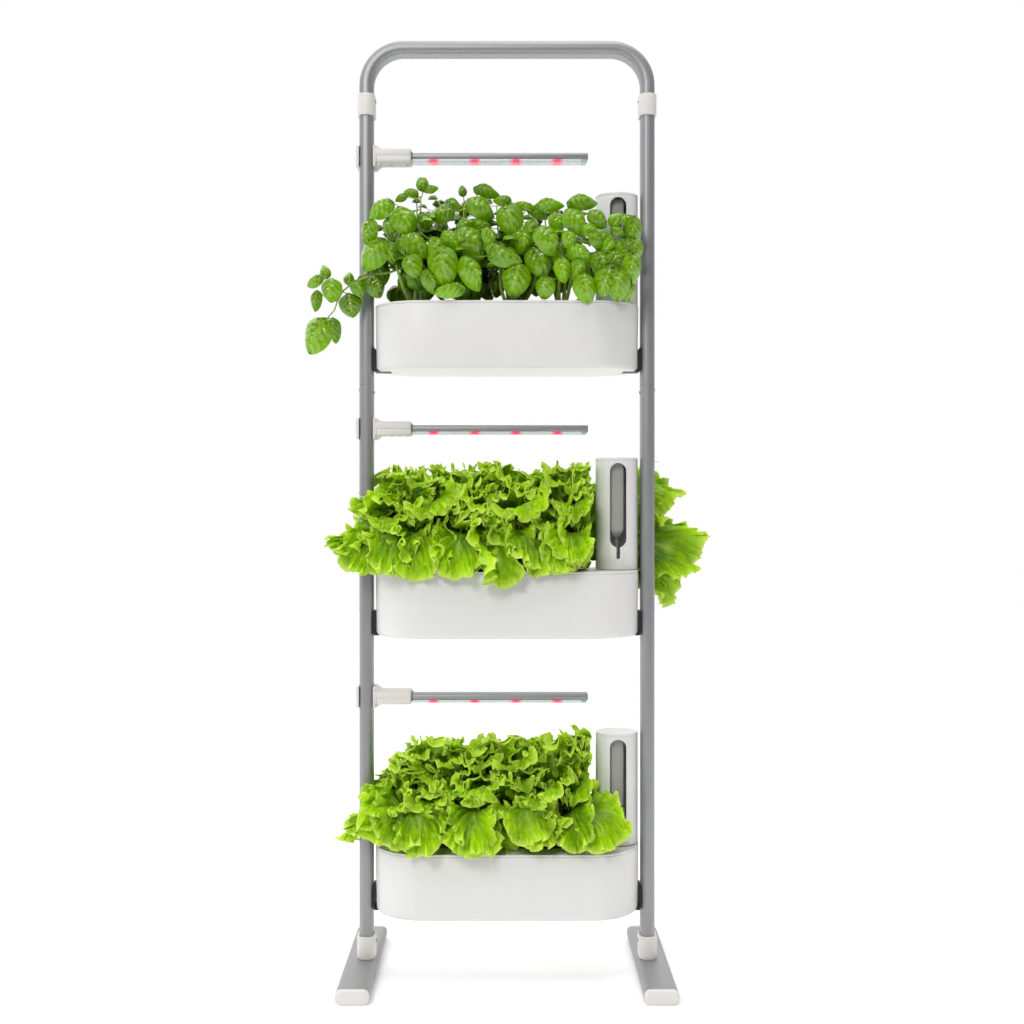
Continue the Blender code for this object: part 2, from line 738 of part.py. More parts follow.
def tower_casing():
    """White tube with a floor that guides the gauge's stem, drains, a shadow groove and a spigot."""
    rim = TOWER_HEIGHT - CAP_THICKNESS - FIT_GAP
    bore = TOWER_RADIUS - TOWER_WALL
    groove = TOWER_RADIUS - TOWER_GROOVE_DEPTH
    floor_low = TOWER_GROOVE_HEIGHT
    floor_top = floor_low + TOWER_FLOOR
    spigot_bore = TOWER_SPIGOT_RADIUS - TOWER_SPIGOT_WALL
    guide = GAUGE_STEM_RADIUS + SLIDE_GAP
    profile = [
        (TOWER_RADIUS, rim),
        (TOWER_RADIUS, TOWER_GROOVE_HEIGHT),
        (groove, TOWER_GROOVE_HEIGHT),
        (groove, FIT_GAP),
        (TOWER_SPIGOT_RADIUS, FIT_GAP),
        (TOWER_SPIGOT_RADIUS, -TOWER_SPIGOT_LENGTH),
        (spigot_bore, -TOWER_SPIGOT_LENGTH),
        (spigot_bore, floor_low),
        (guide, floor_low),
        (guide, floor_top),
        (bore, floor_top),
        (bore, rim),
    ]
    drains = []
    for index in range(DRAIN_COUNT):
        angle = (index + 1 / 2) / DRAIN_COUNT * 2 * math.pi
        drains.append(cylinder(
            "drain", DRAIN_RADIUS, floor_low - OVERCUT / 2, floor_top + OVERCUT / 2,
            x=DRAIN_CIRCLE_RADIUS * math.cos(angle), y=DRAIN_CIRCLE_RADIUS * math.sin(angle), steps=6,
        ))
    return cut(
        turned("tower_casing", profile, closed=True),
        keyhole(),
        group_solids("drains", *drains),
    )


def tower_cap():
    """White lift-off cap: a shallow dish inside a rounded edge, and a skirt inside the casing."""
    base = TOWER_HEIGHT - CAP_THICKNESS
    skirt = TOWER_RADIUS - TOWER_WALL - FIT_GAP
    profile = [
        (0, TOWER_HEIGHT - CAP_DISH_DEPTH),
        (CAP_DISH_RADIUS - CAP_EDGE, TOWER_HEIGHT - CAP_DISH_DEPTH),
        (CAP_DISH_RADIUS, TOWER_HEIGHT),
        (TOWER_RADIUS - CAP_EDGE, TOWER_HEIGHT),
        (TOWER_RADIUS, TOWER_HEIGHT - CAP_EDGE),
        (TOWER_RADIUS, base),
        (skirt, base),
        (skirt, base - CAP_SKIRT_LENGTH),
        (skirt - CAP_SKIRT_WALL, base - CAP_SKIRT_LENGTH),
        (skirt - CAP_SKIRT_WALL, base),
        (0, base),
    ]
    return turned("tower_cap", profile)


def level_gauge():
    """Grey indicator behind the window, its stem through the casing's floor, and the float under it."""
    top = TOWER_HEIGHT - GAUGE_TOP_DROP
    shoulder = TOWER_HEIGHT - GAUGE_SHOULDER_DROP
    neck = TOWER_HEIGHT - GAUGE_NECK_DROP
    float_top = -TOWER_SPIGOT_LENGTH - FLOAT_DROP
    float_base = float_top - FLOAT_HEIGHT
    profile = [
        (0, top),
        (GAUGE_RADIUS - GAUGE_EDGE, top),
        (GAUGE_RADIUS, top - GAUGE_EDGE),
        (GAUGE_RADIUS, shoulder),
        (GAUGE_STEM_RADIUS, neck),
        (GAUGE_STEM_RADIUS, float_top),
        (FLOAT_RADIUS - FLOAT_EDGE, float_top),
        (FLOAT_RADIUS, float_top - FLOAT_EDGE),
        (FLOAT_RADIUS, float_base + FLOAT_EDGE),
        (FLOAT_RADIUS - FLOAT_EDGE, float_base),
        (0, float_base),
    ]
    return turned("level_gauge", profile, steps=SMALL_TURN_STEPS)


# Lamp pieces, with the post's axis at X zero and the arm's middle at height zero

def bar_pocket(low, high):
    """Cutter for the bar's seat in one half of the arm."""
    half = BAR_DEPTH / 2 + FIT_GAP
    return box("bar_pocket", (BAR_START - FIT_GAP, -half, low), (ARM_END + OVERCUT, half, high))


def gusset(side):
    """Slanted web from the clamp's inner cheek to the arm, above it or below it."""
    cheek = CLAMP_INNER + CLAMP_CHEEK / 2
    outline = [
        (cheek, 0),
        (ARM_START + ARM_GUSSET, 0),
        (ARM_START + ARM_GUSSET, ARM_HEIGHT / 2 - ARM_EDGE / 4),
        (ARM_START + CLAMP_EDGE / 2, CLAMP_HEIGHT / 2 - CLAMP_EDGE / 2),
        (cheek, CLAMP_HEIGHT / 2 - CLAMP_EDGE / 2),
    ]
    half = ARM_DEPTH / 2 - ARM_EDGE
    web = lay_down(prism("gusset", [[(x, side * z) for x, z in outline]], -half, half))
    return web


def lamp_clamp():
    """White clamp round the post, open at the front, made in one with the upper half of the arm."""
    outer_x = -CLAMP_INNER - CLAMP_CHEEK
    back_y = POST_DEPTH / 2 + SLIDE_GAP + CLAMP_BACK
    half = CLAMP_HEIGHT / 2
    shape = rounded(ARM_START - outer_x, back_y + CLAMP_WRAP, CLAMP_CORNER)
    clamp = moved(
        prism("lamp_clamp", [shape], -half, half),
        Matrix.Translation((0, (back_y - CLAMP_WRAP) / 2, 0)),
    )
    clamp = round_edges(clamp, CLAMP_EDGE)
    arm = box(
        "arm",
        (CLAMP_INNER + CLAMP_CHEEK / 2, -ARM_DEPTH / 2, -ARM_HEIGHT / 2),
        (ARM_END, ARM_DEPTH / 2, ARM_HEIGHT / 2),
    )
    arm = round_edges(arm, ARM_EDGE)
    lower_half = box(
        "lower_half",
        (ARM_START - FIT_GAP, -ARM_DEPTH, -CLAMP_HEIGHT),
        (ARM_END + OVERCUT, ARM_DEPTH, 0),
    )
    return cut(
        join(clamp, arm, gusset(1)),
        lower_half,
        bar_pocket(-OVERCUT, BAR_HEIGHT / 2 + FIT_GAP),
        prism("post_space", [tube_section(-SLIDE_GAP)], -CLAMP_HEIGHT, CLAMP_HEIGHT),
        box(
            "mouth",
            (-CLAMP_INNER, -CLAMP_WRAP - OVERCUT, -CLAMP_HEIGHT),
            (CLAMP_INNER, 0, CLAMP_HEIGHT),
        ),
    )


def lamp_arm_cover():
    """White lower half of the arm, under the parting line."""
    arm = box(
        "lamp_arm_cover",
        (ARM_START - ARM_EDGE, -ARM_DEPTH / 2, -ARM_HEIGHT / 2),
        (ARM_END, ARM_DEPTH / 2, ARM_HEIGHT / 2),
    )
    arm = round_edges(arm, ARM_EDGE)
    return cut(
        join(arm, gusset(-1)),
        box("cheek_space", (0, -ARM_DEPTH, -CLAMP_HEIGHT), (ARM_START + FIT_GAP, ARM_DEPTH, CLAMP_HEIGHT)),
        box("upper_half", (0, -ARM_DEPTH, -FIT_GAP), (ARM_END + OVERCUT, ARM_DEPTH, CLAMP_HEIGHT)),
        bar_pocket(-BAR_HEIGHT / 2 - FIT_GAP, OVERCUT),
    )


def lamp_housing():
    """Grey channel, open below, closed at its far end and seated in the arm at its near end."""
    half_depth, half_height = BAR_DEPTH / 2, BAR_HEIGHT / 2
    bar = box("lamp_housing", (BAR_START, -half_depth, -half_height), (BAR_END, half_depth, half_height))
    bar = round_edges(bar, BAR_EDGE)
    channel = box(
        "channel",
        (BAR_START + BAR_WALL, -half_depth + BAR_WALL, -half_height - OVERCUT),
        (BAR_END - BAR_WALL, half_depth - BAR_WALL, half_height - BAR_WALL),
    )
    return cut(bar, channel)


def led_board():
    """The board that carries the lights, against the channel's ceiling."""
    ceiling = BAR_HEIGHT / 2 - BAR_WALL - FIT_GAP
    half = BAR_DEPTH / 2 - BAR_WALL - FIT_GAP
    return box(
        "led_board",
        (BAR_START + BAR_WALL + FIT_GAP, -half, ceiling - BOARD_THICKNESS),
        (BAR_END - BAR_WALL - FIT_GAP, half, ceiling),
    )


def lamp_diffuser():
    """Clear strip that closes the channel and stands a little proud of it."""
    half = BAR_DEPTH / 2 - BAR_WALL - FIT_GAP
    base = -BAR_HEIGHT / 2 - DIFFUSER_PROUD
    strip = box(
        "lamp_diffuser",
        (ARM_END + FIT_GAP, -half, base),
        (BAR_END - BAR_WALL - FIT_GAP, half, base + DIFFUSER_DEPTH),
    )
    return round_edges(strip, DIFFUSER_EDGE)


# Plants, in the planter's frame

def crown_point(crown, reach, direction):
    """The point of a crown in a direction: an ellipsoid drawn out toward the corners of its box."""
    return Vector([
        middle + math.copysign(abs(share) ** CROWN_FULLNESS, share) * length
        for middle, length, share in zip(crown, reach, direction)
    ])


def crown_core(name, crown, reach):
    """The dense middle of one plant, a ball with full corners."""
    angles = [(row / CROWN_ROWS_COUNT - 1 / 2) * math.pi for row in range(CROWN_ROWS_COUNT + 1)]
    profile = [(max(math.cos(angle), 0.0), math.sin(angle)) for angle in angles]
    profile[0], profile[-1] = (0, -1), (0, 1)
    core = turned(name, profile, steps=CROWN_STEPS)
    for vertex in core.data.vertices:
        vertex.co = crown_point(crown, reach, vertex.co)
    return core


def leaf(base, tip, width, upright_share=0.0, thickness=LEAF_THICKNESS):
    """A full leaf, a flat double cone from base to tip: its blade lies level or stands up by a share."""
    base, tip = Vector(base), Vector(tip)
    along = tip - base
    blade = turned("leaf", [(0, 1 / 2), (1 / 2, 0), (0, -1 / 2)], steps=LEAF_STEPS)
    for vertex in blade.data.vertices:
        reach, across = vertex.co.x + 1 / 2, vertex.co.y
        vertex.co.x *= along.length
        vertex.co.y *= width * (2 + reach) / 3
        vertex.co.z = thickness * (vertex.co.z + across * across - reach * reach / 2)
    turn = along.to_track_quat("X", "Z").to_matrix().to_4x4()
    roll = Matrix.Rotation(upright_share * math.pi / 2, 4, "X")
    return moved(blade, Matrix.Translation((base + tip) / 2) @ turn @ roll)


def stalk(points, radius):
    """A bare stalk through the given points."""
    curve = bpy.data.curves.new("stalk", "CURVE")
    curve.dimensions = "3D"
    curve.bevel_depth = radius
    curve.bevel_resolution = 1
    curve.use_fill_caps = True
    spline = curve.splines.new("POLY")
    spline.points.add(len(points) - 1)
    for point, place_at in zip(spline.points, points):
        point.co = (*place_at, 1)
    made = add_object("stalk", curve)
    bpy.context.view_layer.update()
    return bake(made)


def largest_body(piece):
    """Drops the crumbs that the cuts may leave beside the plant."""
    cage = bmesh.new()
    cage.from_mesh(piece.data)
    left, bodies = set(cage.verts), []
    while left:
        front, body = [left.pop()], set()
        while front:
            vertex = front.pop()
            body.add(vertex)
            for edge in vertex.link_edges:
                other = edge.other_vert(vertex)
                if other in left:
                    left.discard(other)
                    front.append(other)
        bodies.append(body)
    keep = max(bodies, key=len)
    bmesh.ops.delete(cage, geom=[v for v in cage.verts if v not in keep], context="VERTS")
    name = piece.name
    bpy.data.objects.remove(piece)
    return from_bmesh(name, cage)


def post_room(x):
    shape = tube_section(-PLANT_CLEARANCE)
    return moved(prism("post_room", [shape], -FRAME_HEIGHT, FRAME_HEIGHT), Matrix.Translation((x, 0, 0)))


def rooms(lamp_rise, lamp_down, side, split_x):
    """What a plant keeps clear of: tub and deck, posts, tower, lamp and the plant beside it."""
    clear = PLANT_CLEARANCE
    lamp_low = lamp_rise - lamp_down - clear
    far = FRAME_HEIGHT
    neighbour = sorted((split_x + side * clear / 2, split_x - side * far))
    return [
        prism("tub_room", [stadium(-clear)], TUB_BASE - clear, clear),
        post_room(-POST_X),
        post_room(POST_X),
        cylinder("tower_room", TOWER_RADIUS + clear, -OVERCUT, far, x=TOWER_X, steps=TURN_STEPS),
        box("arm_room", (-far, -far, lamp_low - ARM_HEIGHT / 2), (far, far, far)),
        box("clamp_room", (-far, -far, lamp_low - CLAMP_HEIGHT / 2), (-POST_X + ARM_START + clear, far, far)),
        box("neighbour_room", (neighbour[0], -far, -far), (neighbour[1], far, far)),
    ]


def root_plug(x, stem_top):
    """Sponge and roots that fill a net cup, with the stem that rises from them."""
    slope = (CUP_RADIUS - CUP_BASE_RADIUS) / CUP_DEPTH
    base = -CUP_DEPTH + CUP_WALL + CUP_FILL_GAP
    radius = CUP_BASE_RADIUS - CUP_WALL - 2 * CUP_FILL_GAP + slope * CUP_WALL
    plug = cylinder(
        "root_plug", radius, base, base + PLUG_HEIGHT, x=x, steps=CUP_STEPS,
        top_radius=radius + slope * PLUG_HEIGHT, turn=math.pi / CUP_STEPS,
    )
    return join(plug, cylinder("stem", STEM_RADIUS, base + PLUG_HEIGHT / 2, stem_top, x=x, steps=CUP_STEPS))


def canopy(name, cups, crown_y, crown_z, reach, leaf_size, leaves, room_list):
    """One side's plants: a core over each cup, leaves set out by the golden angle, single leaves and stems."""
    reach = Vector(reach)
    length, width = leaf_size
    plants = None
    for x in cups:
        crown = Vector((x, crown_y, crown_z))
        core = crown_core(name, crown, CORE_SHARE * reach)
        plants = join(plants, core) if plants else core
        for index in range(LEAF_COUNT):
            azimuth = index * GOLDEN_ANGLE
            lift = (index + 1 / 2) / LEAF_COUNT
            flat = math.sqrt(1 - lift * lift)
            direction = Vector((flat * math.cos(azimuth), flat * math.sin(azimuth), lift))
            tip = crown_point(crown, reach, direction)
            base = tip - (tip - crown).normalized() * min(length, (tip - crown).length)
            plants = join(plants, leaf(base, tip, width))
    plants = largest_body(cut(join(plants, *leaves), *room_list))
    return join(plants, *[root_plug(x, crown_z) for x in cups])


def at_share(x_share, y_share, z_share, rise):
    """A point given as shares of the planter's half length, its half depth and the room under the lamp.

    Past the planter's end, at 1, the first share counts on to the foliage's reach, at 2.
    """
    within, beyond = min(abs(x_share), 1), max(abs(x_share) - 1, 0)
    x = within * TUB_HALF_LENGTH + beyond * (FOLIAGE_REACH - TUB_HALF_LENGTH)
    return Vector((math.copysign(x, x_share), y_share * TUB_HALF_DEPTH, z_share * rise))


def shared_leaf(base_shares, tip_shares, width, rise, upright_share=0.0):
    return leaf(at_share(*base_shares, rise), at_share(*tip_shares, rise), width, upright_share)


def to_reach(piece, side):
    """Slides a leaf along X until its outermost point is at the foliage's reach."""
    edge = max(side * vertex.co.x for vertex in piece.data.vertices)
    return moved(piece, Matrix.Translation((side * (FOLIAGE_REACH - edge), 0, 0)))


def basil_leaves(side, rise):
    """Leaves in front of the tower; at the left the sprig that hangs past the post."""
    width = BASIL_LEAF_WIDTH
    if side > 0:
        return [
            shared_leaf((0.36, -0.50, 0.50), (0.96, -0.74, 0.48), width, rise, 0.3),
            shared_leaf((0.36, -0.50, 0.34), (0.98, -0.74, 0.24), width, rise, 0.5),
            shared_leaf((0.30, -0.20, 0.60), (0.52, -0.30, 0.84), width, rise),
        ]
    sprig_shares = ((-0.60, -0.44, 0.26), (-0.95, -0.55, 0.15), (-1.49, -0.54, 0.08), (-1.70, -0.51, -0.16))
    return [
        stalk([at_share(*shares, rise) for shares in sprig_shares], STEM_RADIUS),
        shared_leaf((-0.60, -0.44, 0.54), (-1.14, -0.60, 0.60), width, rise, 0.5),
        shared_leaf((-0.60, -0.44, 0.36), (-1.21, -0.62, 0.34), width, rise, 0.5),
        shared_leaf((-0.90, -0.56, 0.16), (-1.42, -0.56, 0.02), width * 0.8, rise, 0.7),
        shared_leaf((-1.25, -0.56, 0.08), (-1.95, -0.52, 0.16), width * 1.2, rise, 0.8),
        to_reach(shared_leaf((-1.60, -0.54, -0.06), (-1.92, -0.50, -0.32), width, rise, 0.8), -1),
    ]


def lettuce_leaves(side, rise):
    """Leaves over the rim and past the left post; at the right the ones behind tower and post."""
    width = LETTUCE_LEAF_WIDTH
    if side < 0:
        return [
            shared_leaf((-0.56, -0.50, 0.36), (-1.53, -0.72, 0.16), width, rise, 0.6),
            shared_leaf((-0.56, -0.50, 0.60), (-1.25, -0.70, 0.62), width * 0.8, rise, 0.6),
            shared_leaf((-0.40, -0.60, 0.30), (-0.50, -1.36, 0.02), width, rise),
        ]
    return [
        shared_leaf((0.20, 0.40, 0.46), (1.42, 0.72, 0.40), width * 0.8, rise, 0.9),
        shared_leaf((0.96, 0.70, 0.40), (1.78, 0.68, 0.62), width * 0.8, rise, 0.9),
        to_reach(shared_leaf((0.98, 0.70, 0.30), (1.92, 0.68, 0.02), width, rise, 0.9), 1),
        shared_leaf((1.11, 0.70, 0.20), (1.70, 0.68, -0.26), width * 0.8, rise, 0.9),
        shared_leaf((0.10, -0.60, 0.30), (0.06, -1.36, 0.00), width, rise),
    ]


def low_lettuce_leaves(side, rise):
    """Leaves over the rim and past the left post; at the right the one across the tower's foot."""
    width = LETTUCE_LEAF_WIDTH
    if side < 0:
        return [
            shared_leaf((-0.56, -0.50, 0.36), (-1.25, -0.72, 0.22), width, rise, 0.6),
            shared_leaf((-0.40, -0.60, 0.30), (-0.56, -1.34, 0.04), width, rise),
        ]
    return [
        shared_leaf((0.26, -0.60, 0.40), (0.74, -1.08, 0.06), width * 0.8, rise, 0.3),
        shared_leaf((0.40, 0.30, 0.60), (0.56, 0.40, 0.84), width * 0.7, rise),
        shared_leaf((0.04, -0.60, 0.30), (0.00, -1.34, 0.04), width, rise),
    ]


# For each planter: kind of plant, its single leaves and the length and width of its other leaves
PLANTINGS = {
    "low": ("lettuce", low_lettuce_leaves, (LETTUCE_LEAF_LENGTH, LETTUCE_LEAF_WIDTH)),
    "middle": ("lettuce", lettuce_leaves, (LETTUCE_LEAF_LENGTH, LETTUCE_LEAF_WIDTH)),
    "top": ("basil", basil_leaves, (BASIL_LEAF_LENGTH, BASIL_LEAF_WIDTH)),
}

# Middle and reach of a plant as shares of half length, half depth and room under the lamp
CROWN_DEPTH_SHARE, CROWN_RISE_SHARE = -0.08, 0.40
REACH_SHARES = (0.31, 1.16, 0.44)
CORE_SHARE = 0.84
SPLIT_SHARE = -0.17


def plant(tier, side):
    """The plants on one side of one planter."""
    deck_z, lamp_z, lamp_down = TIERS[tier]
    rise = lamp_z - deck_z
    hand = "left" if side < 0 else "right"
    kind, single_leaves, leaf_size = PLANTINGS[tier]
    scale = (TUB_HALF_LENGTH, TUB_HALF_DEPTH, rise)
    half = CUP_COUNT // 2
    return canopy(
        f"{kind}_{tier}_{hand}",
        CUP_XS[:half] if side < 0 else CUP_XS[half:],
        CROWN_DEPTH_SHARE * TUB_HALF_DEPTH,
        CROWN_RISE_SHARE * rise,
        [share * length for share, length in zip(REACH_SHARES, scale)],
        leaf_size,
        single_leaves(side, rise),
        rooms(rise, lamp_down, side, SPLIT_SHARE * TUB_HALF_LENGTH),
    )


# Placing the pieces

def empty(name, location):
    made = bpy.data.objects.new(name, None)
    made.location = location
    parts.objects.link(made)
    return made


def place(name, model, material, parent=None, location=(0, 0, 0), turn=0.0):
    """A named part that shows a modelled mesh, at a place and a turn about Z under its parent."""
    mesh = model.data
    if not mesh.materials:
        mesh.materials.append(material)
        mesh.shade_smooth()
        mesh.set_sharp_from_angle(angle=SHARP_ANGLE)
    part = bpy.data.objects.new(name, mesh)
    parts.objects.link(part)
    part.parent = parent
    part.location = location
    part.rotation_euler.z = turn
    return part


def place_frame():
    models = [lower_post(), upper_post(), sleeve(), socket(), foot(), foot_cap()]
    low_post, high_post, collar, cup, beam, plug = models
    hoop = top_hoop()
    frame = empty("frame", (0, 0, 0))
    place("top_hoop", hoop, GREY_STEEL, frame)
    for side, hand in ((-1, "left"), (1, "right")):
        x = side * POST_X
        foot_x = side * (POST_X + FOOT_OUTSET)
        foot_z = FOOT_HEIGHT / 2
        place(f"post_{hand}_lower", low_post, GREY_STEEL, frame, (x, 0, 0))
        place(f"post_{hand}_upper", high_post, GREY_STEEL, frame, (x, 0, 0))
        place(f"sleeve_{hand}", collar, WHITE_NYLON, frame, (x, 0, SLEEVE_JOINT_Z))
        place(f"socket_{hand}", cup, WHITE_NYLON, frame, (x, 0, SOCKET_BASE_Z))
        place(f"foot_{hand}", beam, GREY_STEEL, frame, (foot_x, 0, foot_z))
        place(f"foot_cap_{hand}_front", plug, WHITE_NYLON, frame, (foot_x, 0, foot_z))
        place(f"foot_cap_{hand}_rear", plug, WHITE_NYLON, frame, (foot_x, 0, foot_z), math.pi)
    return [hoop, *models]


def place_planters():
    models = [planter_tub(), planter_deck(), grow_tray(), bracket()]
    tub, deck, tray, angle = models
    post_face = POST_X - POST_WIDTH / 2 - FIT_GAP
    for tier, (deck_z, _, _) in TIERS.items():
        planter = empty(f"planter_{tier}", (0, 0, deck_z))
        place(f"tub_{tier}", tub, WHITE_ABS, planter)
        place(f"deck_{tier}", deck, WHITE_ABS, planter)
        place(f"grow_tray_{tier}", tray, BLACK_PLASTIC, planter)
        place(f"bracket_left_{tier}", angle, BLACK_PLASTIC, planter, (-post_face, 0, TUB_BASE))
        place(f"bracket_right_{tier}", angle, BLACK_PLASTIC, planter, (post_face, 0, TUB_BASE), math.pi)
        kind = PLANTINGS[tier][0]
        green = BASIL_GREEN if kind == "basil" else LETTUCE_GREEN
        for side, hand in ((-1, "left"), (1, "right")):
            model = plant(tier, side)
            model.name = "plants"
            models.append(model)
            place(f"{kind}_{tier}_{hand}", model, green, planter)
    return models


def place_towers():
    models = [tower_casing(), tower_cap(), level_gauge()]
    casing, cap, gauge = models
    for tier, (deck_z, _, _) in TIERS.items():
        tower = empty(f"tower_{tier}", (TOWER_X, 0, deck_z))
        place(f"tower_casing_{tier}", casing, WHITE_ABS, tower)
        place(f"tower_cap_{tier}", cap, WHITE_ABS, tower)
        place(f"level_gauge_{tier}", gauge, GREY_GAUGE, tower)
    return models


def place_lamps():
    models = [lamp_clamp(), lamp_arm_cover(), lamp_housing(), led_board(), lamp_diffuser()]
    clamp, cover, housing, board, diffuser = models
    for tier, (_, lamp_z, _) in TIERS.items():
        lamp = empty(f"lamp_{tier}", (-POST_X, 0, lamp_z))
        place(f"lamp_clamp_{tier}", clamp, WHITE_NYLON, lamp)
        place(f"lamp_arm_cover_{tier}", cover, WHITE_NYLON, lamp)
        place(f"lamp_housing_{tier}", housing, GREY_ALUMINIUM, lamp)
        place(f"led_board_{tier}", board, BOARD_WHITE, lamp)
        place(f"lamp_diffuser_{tier}", diffuser, CLEAR_PLASTIC, lamp)
    return models


for model in place_frame() + place_planters() + place_towers() + place_lamps():
    bpy.data.objects.remove(model)

shown = [part for part in parts.objects if part.type == "MESH"]
for part in shown:
    part.data.calc_loop_triangles()
print(f"{len(shown)} parts, {sum(len(part.data.loop_triangles) for part in shown)} triangles")
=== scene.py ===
# %% [markdown]
# # A vertical hydroponic garden
#
# Three white planters hang between two steel posts, each with a water tower and a grow lamp over it.
# The rigid skeleton of the model is already there: it was modelled as solids, and this lesson loads it
# as a fixed frame. What is added here is what the eye lives on: smooth edges, finishes, screws,
# lights and above all the plants. Lengths are in metres, +Z is up, +X is right and the front is at -Y.

# %% Load the fixed frame
import json
import math

import bmesh
import bpy
import numpy as np
from mathutils import Matrix, Vector

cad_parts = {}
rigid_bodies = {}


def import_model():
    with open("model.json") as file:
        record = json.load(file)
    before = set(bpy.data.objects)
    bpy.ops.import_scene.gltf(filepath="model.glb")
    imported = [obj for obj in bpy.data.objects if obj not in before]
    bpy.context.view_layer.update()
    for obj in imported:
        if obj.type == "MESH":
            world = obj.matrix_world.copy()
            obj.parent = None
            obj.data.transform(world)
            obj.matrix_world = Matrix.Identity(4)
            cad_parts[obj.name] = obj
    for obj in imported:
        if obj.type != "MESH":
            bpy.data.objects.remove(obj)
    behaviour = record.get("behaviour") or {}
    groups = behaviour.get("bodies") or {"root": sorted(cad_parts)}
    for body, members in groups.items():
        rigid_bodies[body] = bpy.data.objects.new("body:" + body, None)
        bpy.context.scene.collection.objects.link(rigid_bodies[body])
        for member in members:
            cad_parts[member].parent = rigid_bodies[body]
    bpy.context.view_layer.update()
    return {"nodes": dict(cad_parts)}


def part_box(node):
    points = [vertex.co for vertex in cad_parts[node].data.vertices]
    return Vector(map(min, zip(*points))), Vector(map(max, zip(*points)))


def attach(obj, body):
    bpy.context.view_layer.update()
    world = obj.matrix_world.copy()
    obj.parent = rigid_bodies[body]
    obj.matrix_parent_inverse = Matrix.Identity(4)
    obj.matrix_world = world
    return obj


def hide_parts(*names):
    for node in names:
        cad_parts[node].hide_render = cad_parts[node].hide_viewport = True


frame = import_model()
scene = bpy.context.scene

# %% [markdown]
# ## The camera
#
# The picture was taken from straight ahead, a little under the middle of the rack. A level camera keeps
# the posts upright, so the height is set with the lens shift and not by tilting. One pixel of the
# picture is 1.62 mm at the middle of the rack, and a small function turns a pixel into a place, which
# the plants need later.

# %% Camera and the picture's scale
IMAGE = 1024
MM_PER_PIXEL = 1.62
CAMERA_DISTANCE = 2.187
CAMERA_HEIGHT = 0.760
CENTRE_PIXEL = (507, 500)
SENSOR = 36.0

camera_data = bpy.data.cameras.new("camera")
camera_data.sensor_width = SENSOR
camera_data.lens = SENSOR * CAMERA_DISTANCE / (MM_PER_PIXEL / 1000 * IMAGE)
camera_data.shift_x = (IMAGE / 2 - CENTRE_PIXEL[0]) / IMAGE
camera_data.shift_y = (CENTRE_PIXEL[1] - IMAGE / 2) / IMAGE
camera = bpy.data.objects.new("camera", camera_data)
camera.location = (0, -CAMERA_DISTANCE, CAMERA_HEIGHT)
camera.rotation_euler = (math.pi / 2, 0, 0)
scene.collection.objects.link(camera)
scene.camera = camera


def metres_per_pixel(depth):
    """Size of a pixel of the picture, at a distance behind the middle of the rack."""
    return MM_PER_PIXEL / 1000 * (CAMERA_DISTANCE + depth) / CAMERA_DISTANCE


def at_pixel(column, row, depth=0.0):
    """The place that a pixel of the picture shows, at a distance behind the middle of the rack."""
    scale = metres_per_pixel(depth)
    return Vector((
        (column - CENTRE_PIXEL[0]) * scale, depth, CAMERA_HEIGHT - (row - CENTRE_PIXEL[1]) * scale
    ))


print(f"lens {camera_data.lens:.1f} mm, left post at {at_pixel(367, 500).x * 1000:.0f} mm")

# %% [markdown]
# ## Finishes
#
# Each material starts from what the real one is. Colours are written as the hex values that a paint
# chart or a colour picker gives, and one function turns them into the linear light that the renderer
# works with. Another small function adds a node to a material together with its settings and links.

# %% Helpers for materials


def linear(hex_value):
    """Linear colour of an sRGB hex value."""
    channels = [int(hex_value[place:place + 2], 16) / 255 for place in (1, 3, 5)]
    return (*[c / 12.92 if c <= 0.04045 else ((c + 0.055) / 1.055) ** 2.4 for c in channels], 1)


def add_node(tree, kind, settings=None, inputs=None):
    """A new node with its settings; an input is a value, or a socket that is linked to it."""
    node = tree.nodes.new(kind)
    for name, value in (settings or {}).items():
        setattr(node, name, value)
    for name, value in (inputs or {}).items():
        if isinstance(value, bpy.types.NodeSocket):
            tree.links.new(value, node.inputs[name])
        else:
            node.inputs[name].default_value = value
    return node


def material(name, shader_values):
    """A material with one Principled shader, its constant values set on the shader's own sockets."""
    made = bpy.data.materials.new(name)
    made.use_nodes = True
    shader = made.node_tree.nodes["Principled BSDF"]
    for socket, value in shader_values.items():
        shader.inputs[socket].default_value = value
    made.diffuse_color = shader.inputs["Base Color"].default_value
    return made, made.node_tree, shader


def blend(tree, factor, first, second):
    """A node that mixes two colours; each is a hex value or the socket of another colour."""
    low, high = (linear(colour) if isinstance(colour, str) else colour for colour in (first, second))
    return add_node(tree, "ShaderNodeMix", {"data_type": "RGBA"}, {"Factor": factor, "A": low, "B": high})


def mottled(tree, shader, dark, light, size):
    """Colour that drifts between two close tones over patches of a real size in metres."""
    place = add_node(tree, "ShaderNodeTexCoord")
    patches = add_node(tree, "ShaderNodeTexNoise", None, {
        "Vector": place.outputs["Object"], "Scale": 1 / size, "Detail": 4.0, "Roughness": 0.55,
    })
    tones = blend(tree, patches.outputs["Fac"], dark, light)
    tree.links.new(tones.outputs["Result"], shader.inputs["Base Color"])
    return place, patches, tones


def bumped(tree, shader, height, distance, strength=1.0):
    """Bumps from a socket that gives their height as a share of a distance in metres."""
    bump = add_node(tree, "ShaderNodeBump", None, {
        "Height": height, "Distance": distance, "Strength": strength,
    })
    tree.links.new(bump.outputs["Normal"], shader.inputs["Normal"])


def grained(tree, shader, place, size, height, strength=1.0):
    """Fine bumps of a real size and height in metres."""
    grain = add_node(tree, "ShaderNodeTexNoise", None, {
        "Vector": place.outputs["Object"], "Scale": 1 / size, "Detail": 2.0,
    })
    bumped(tree, shader, grain.outputs["Fac"], height, strength)


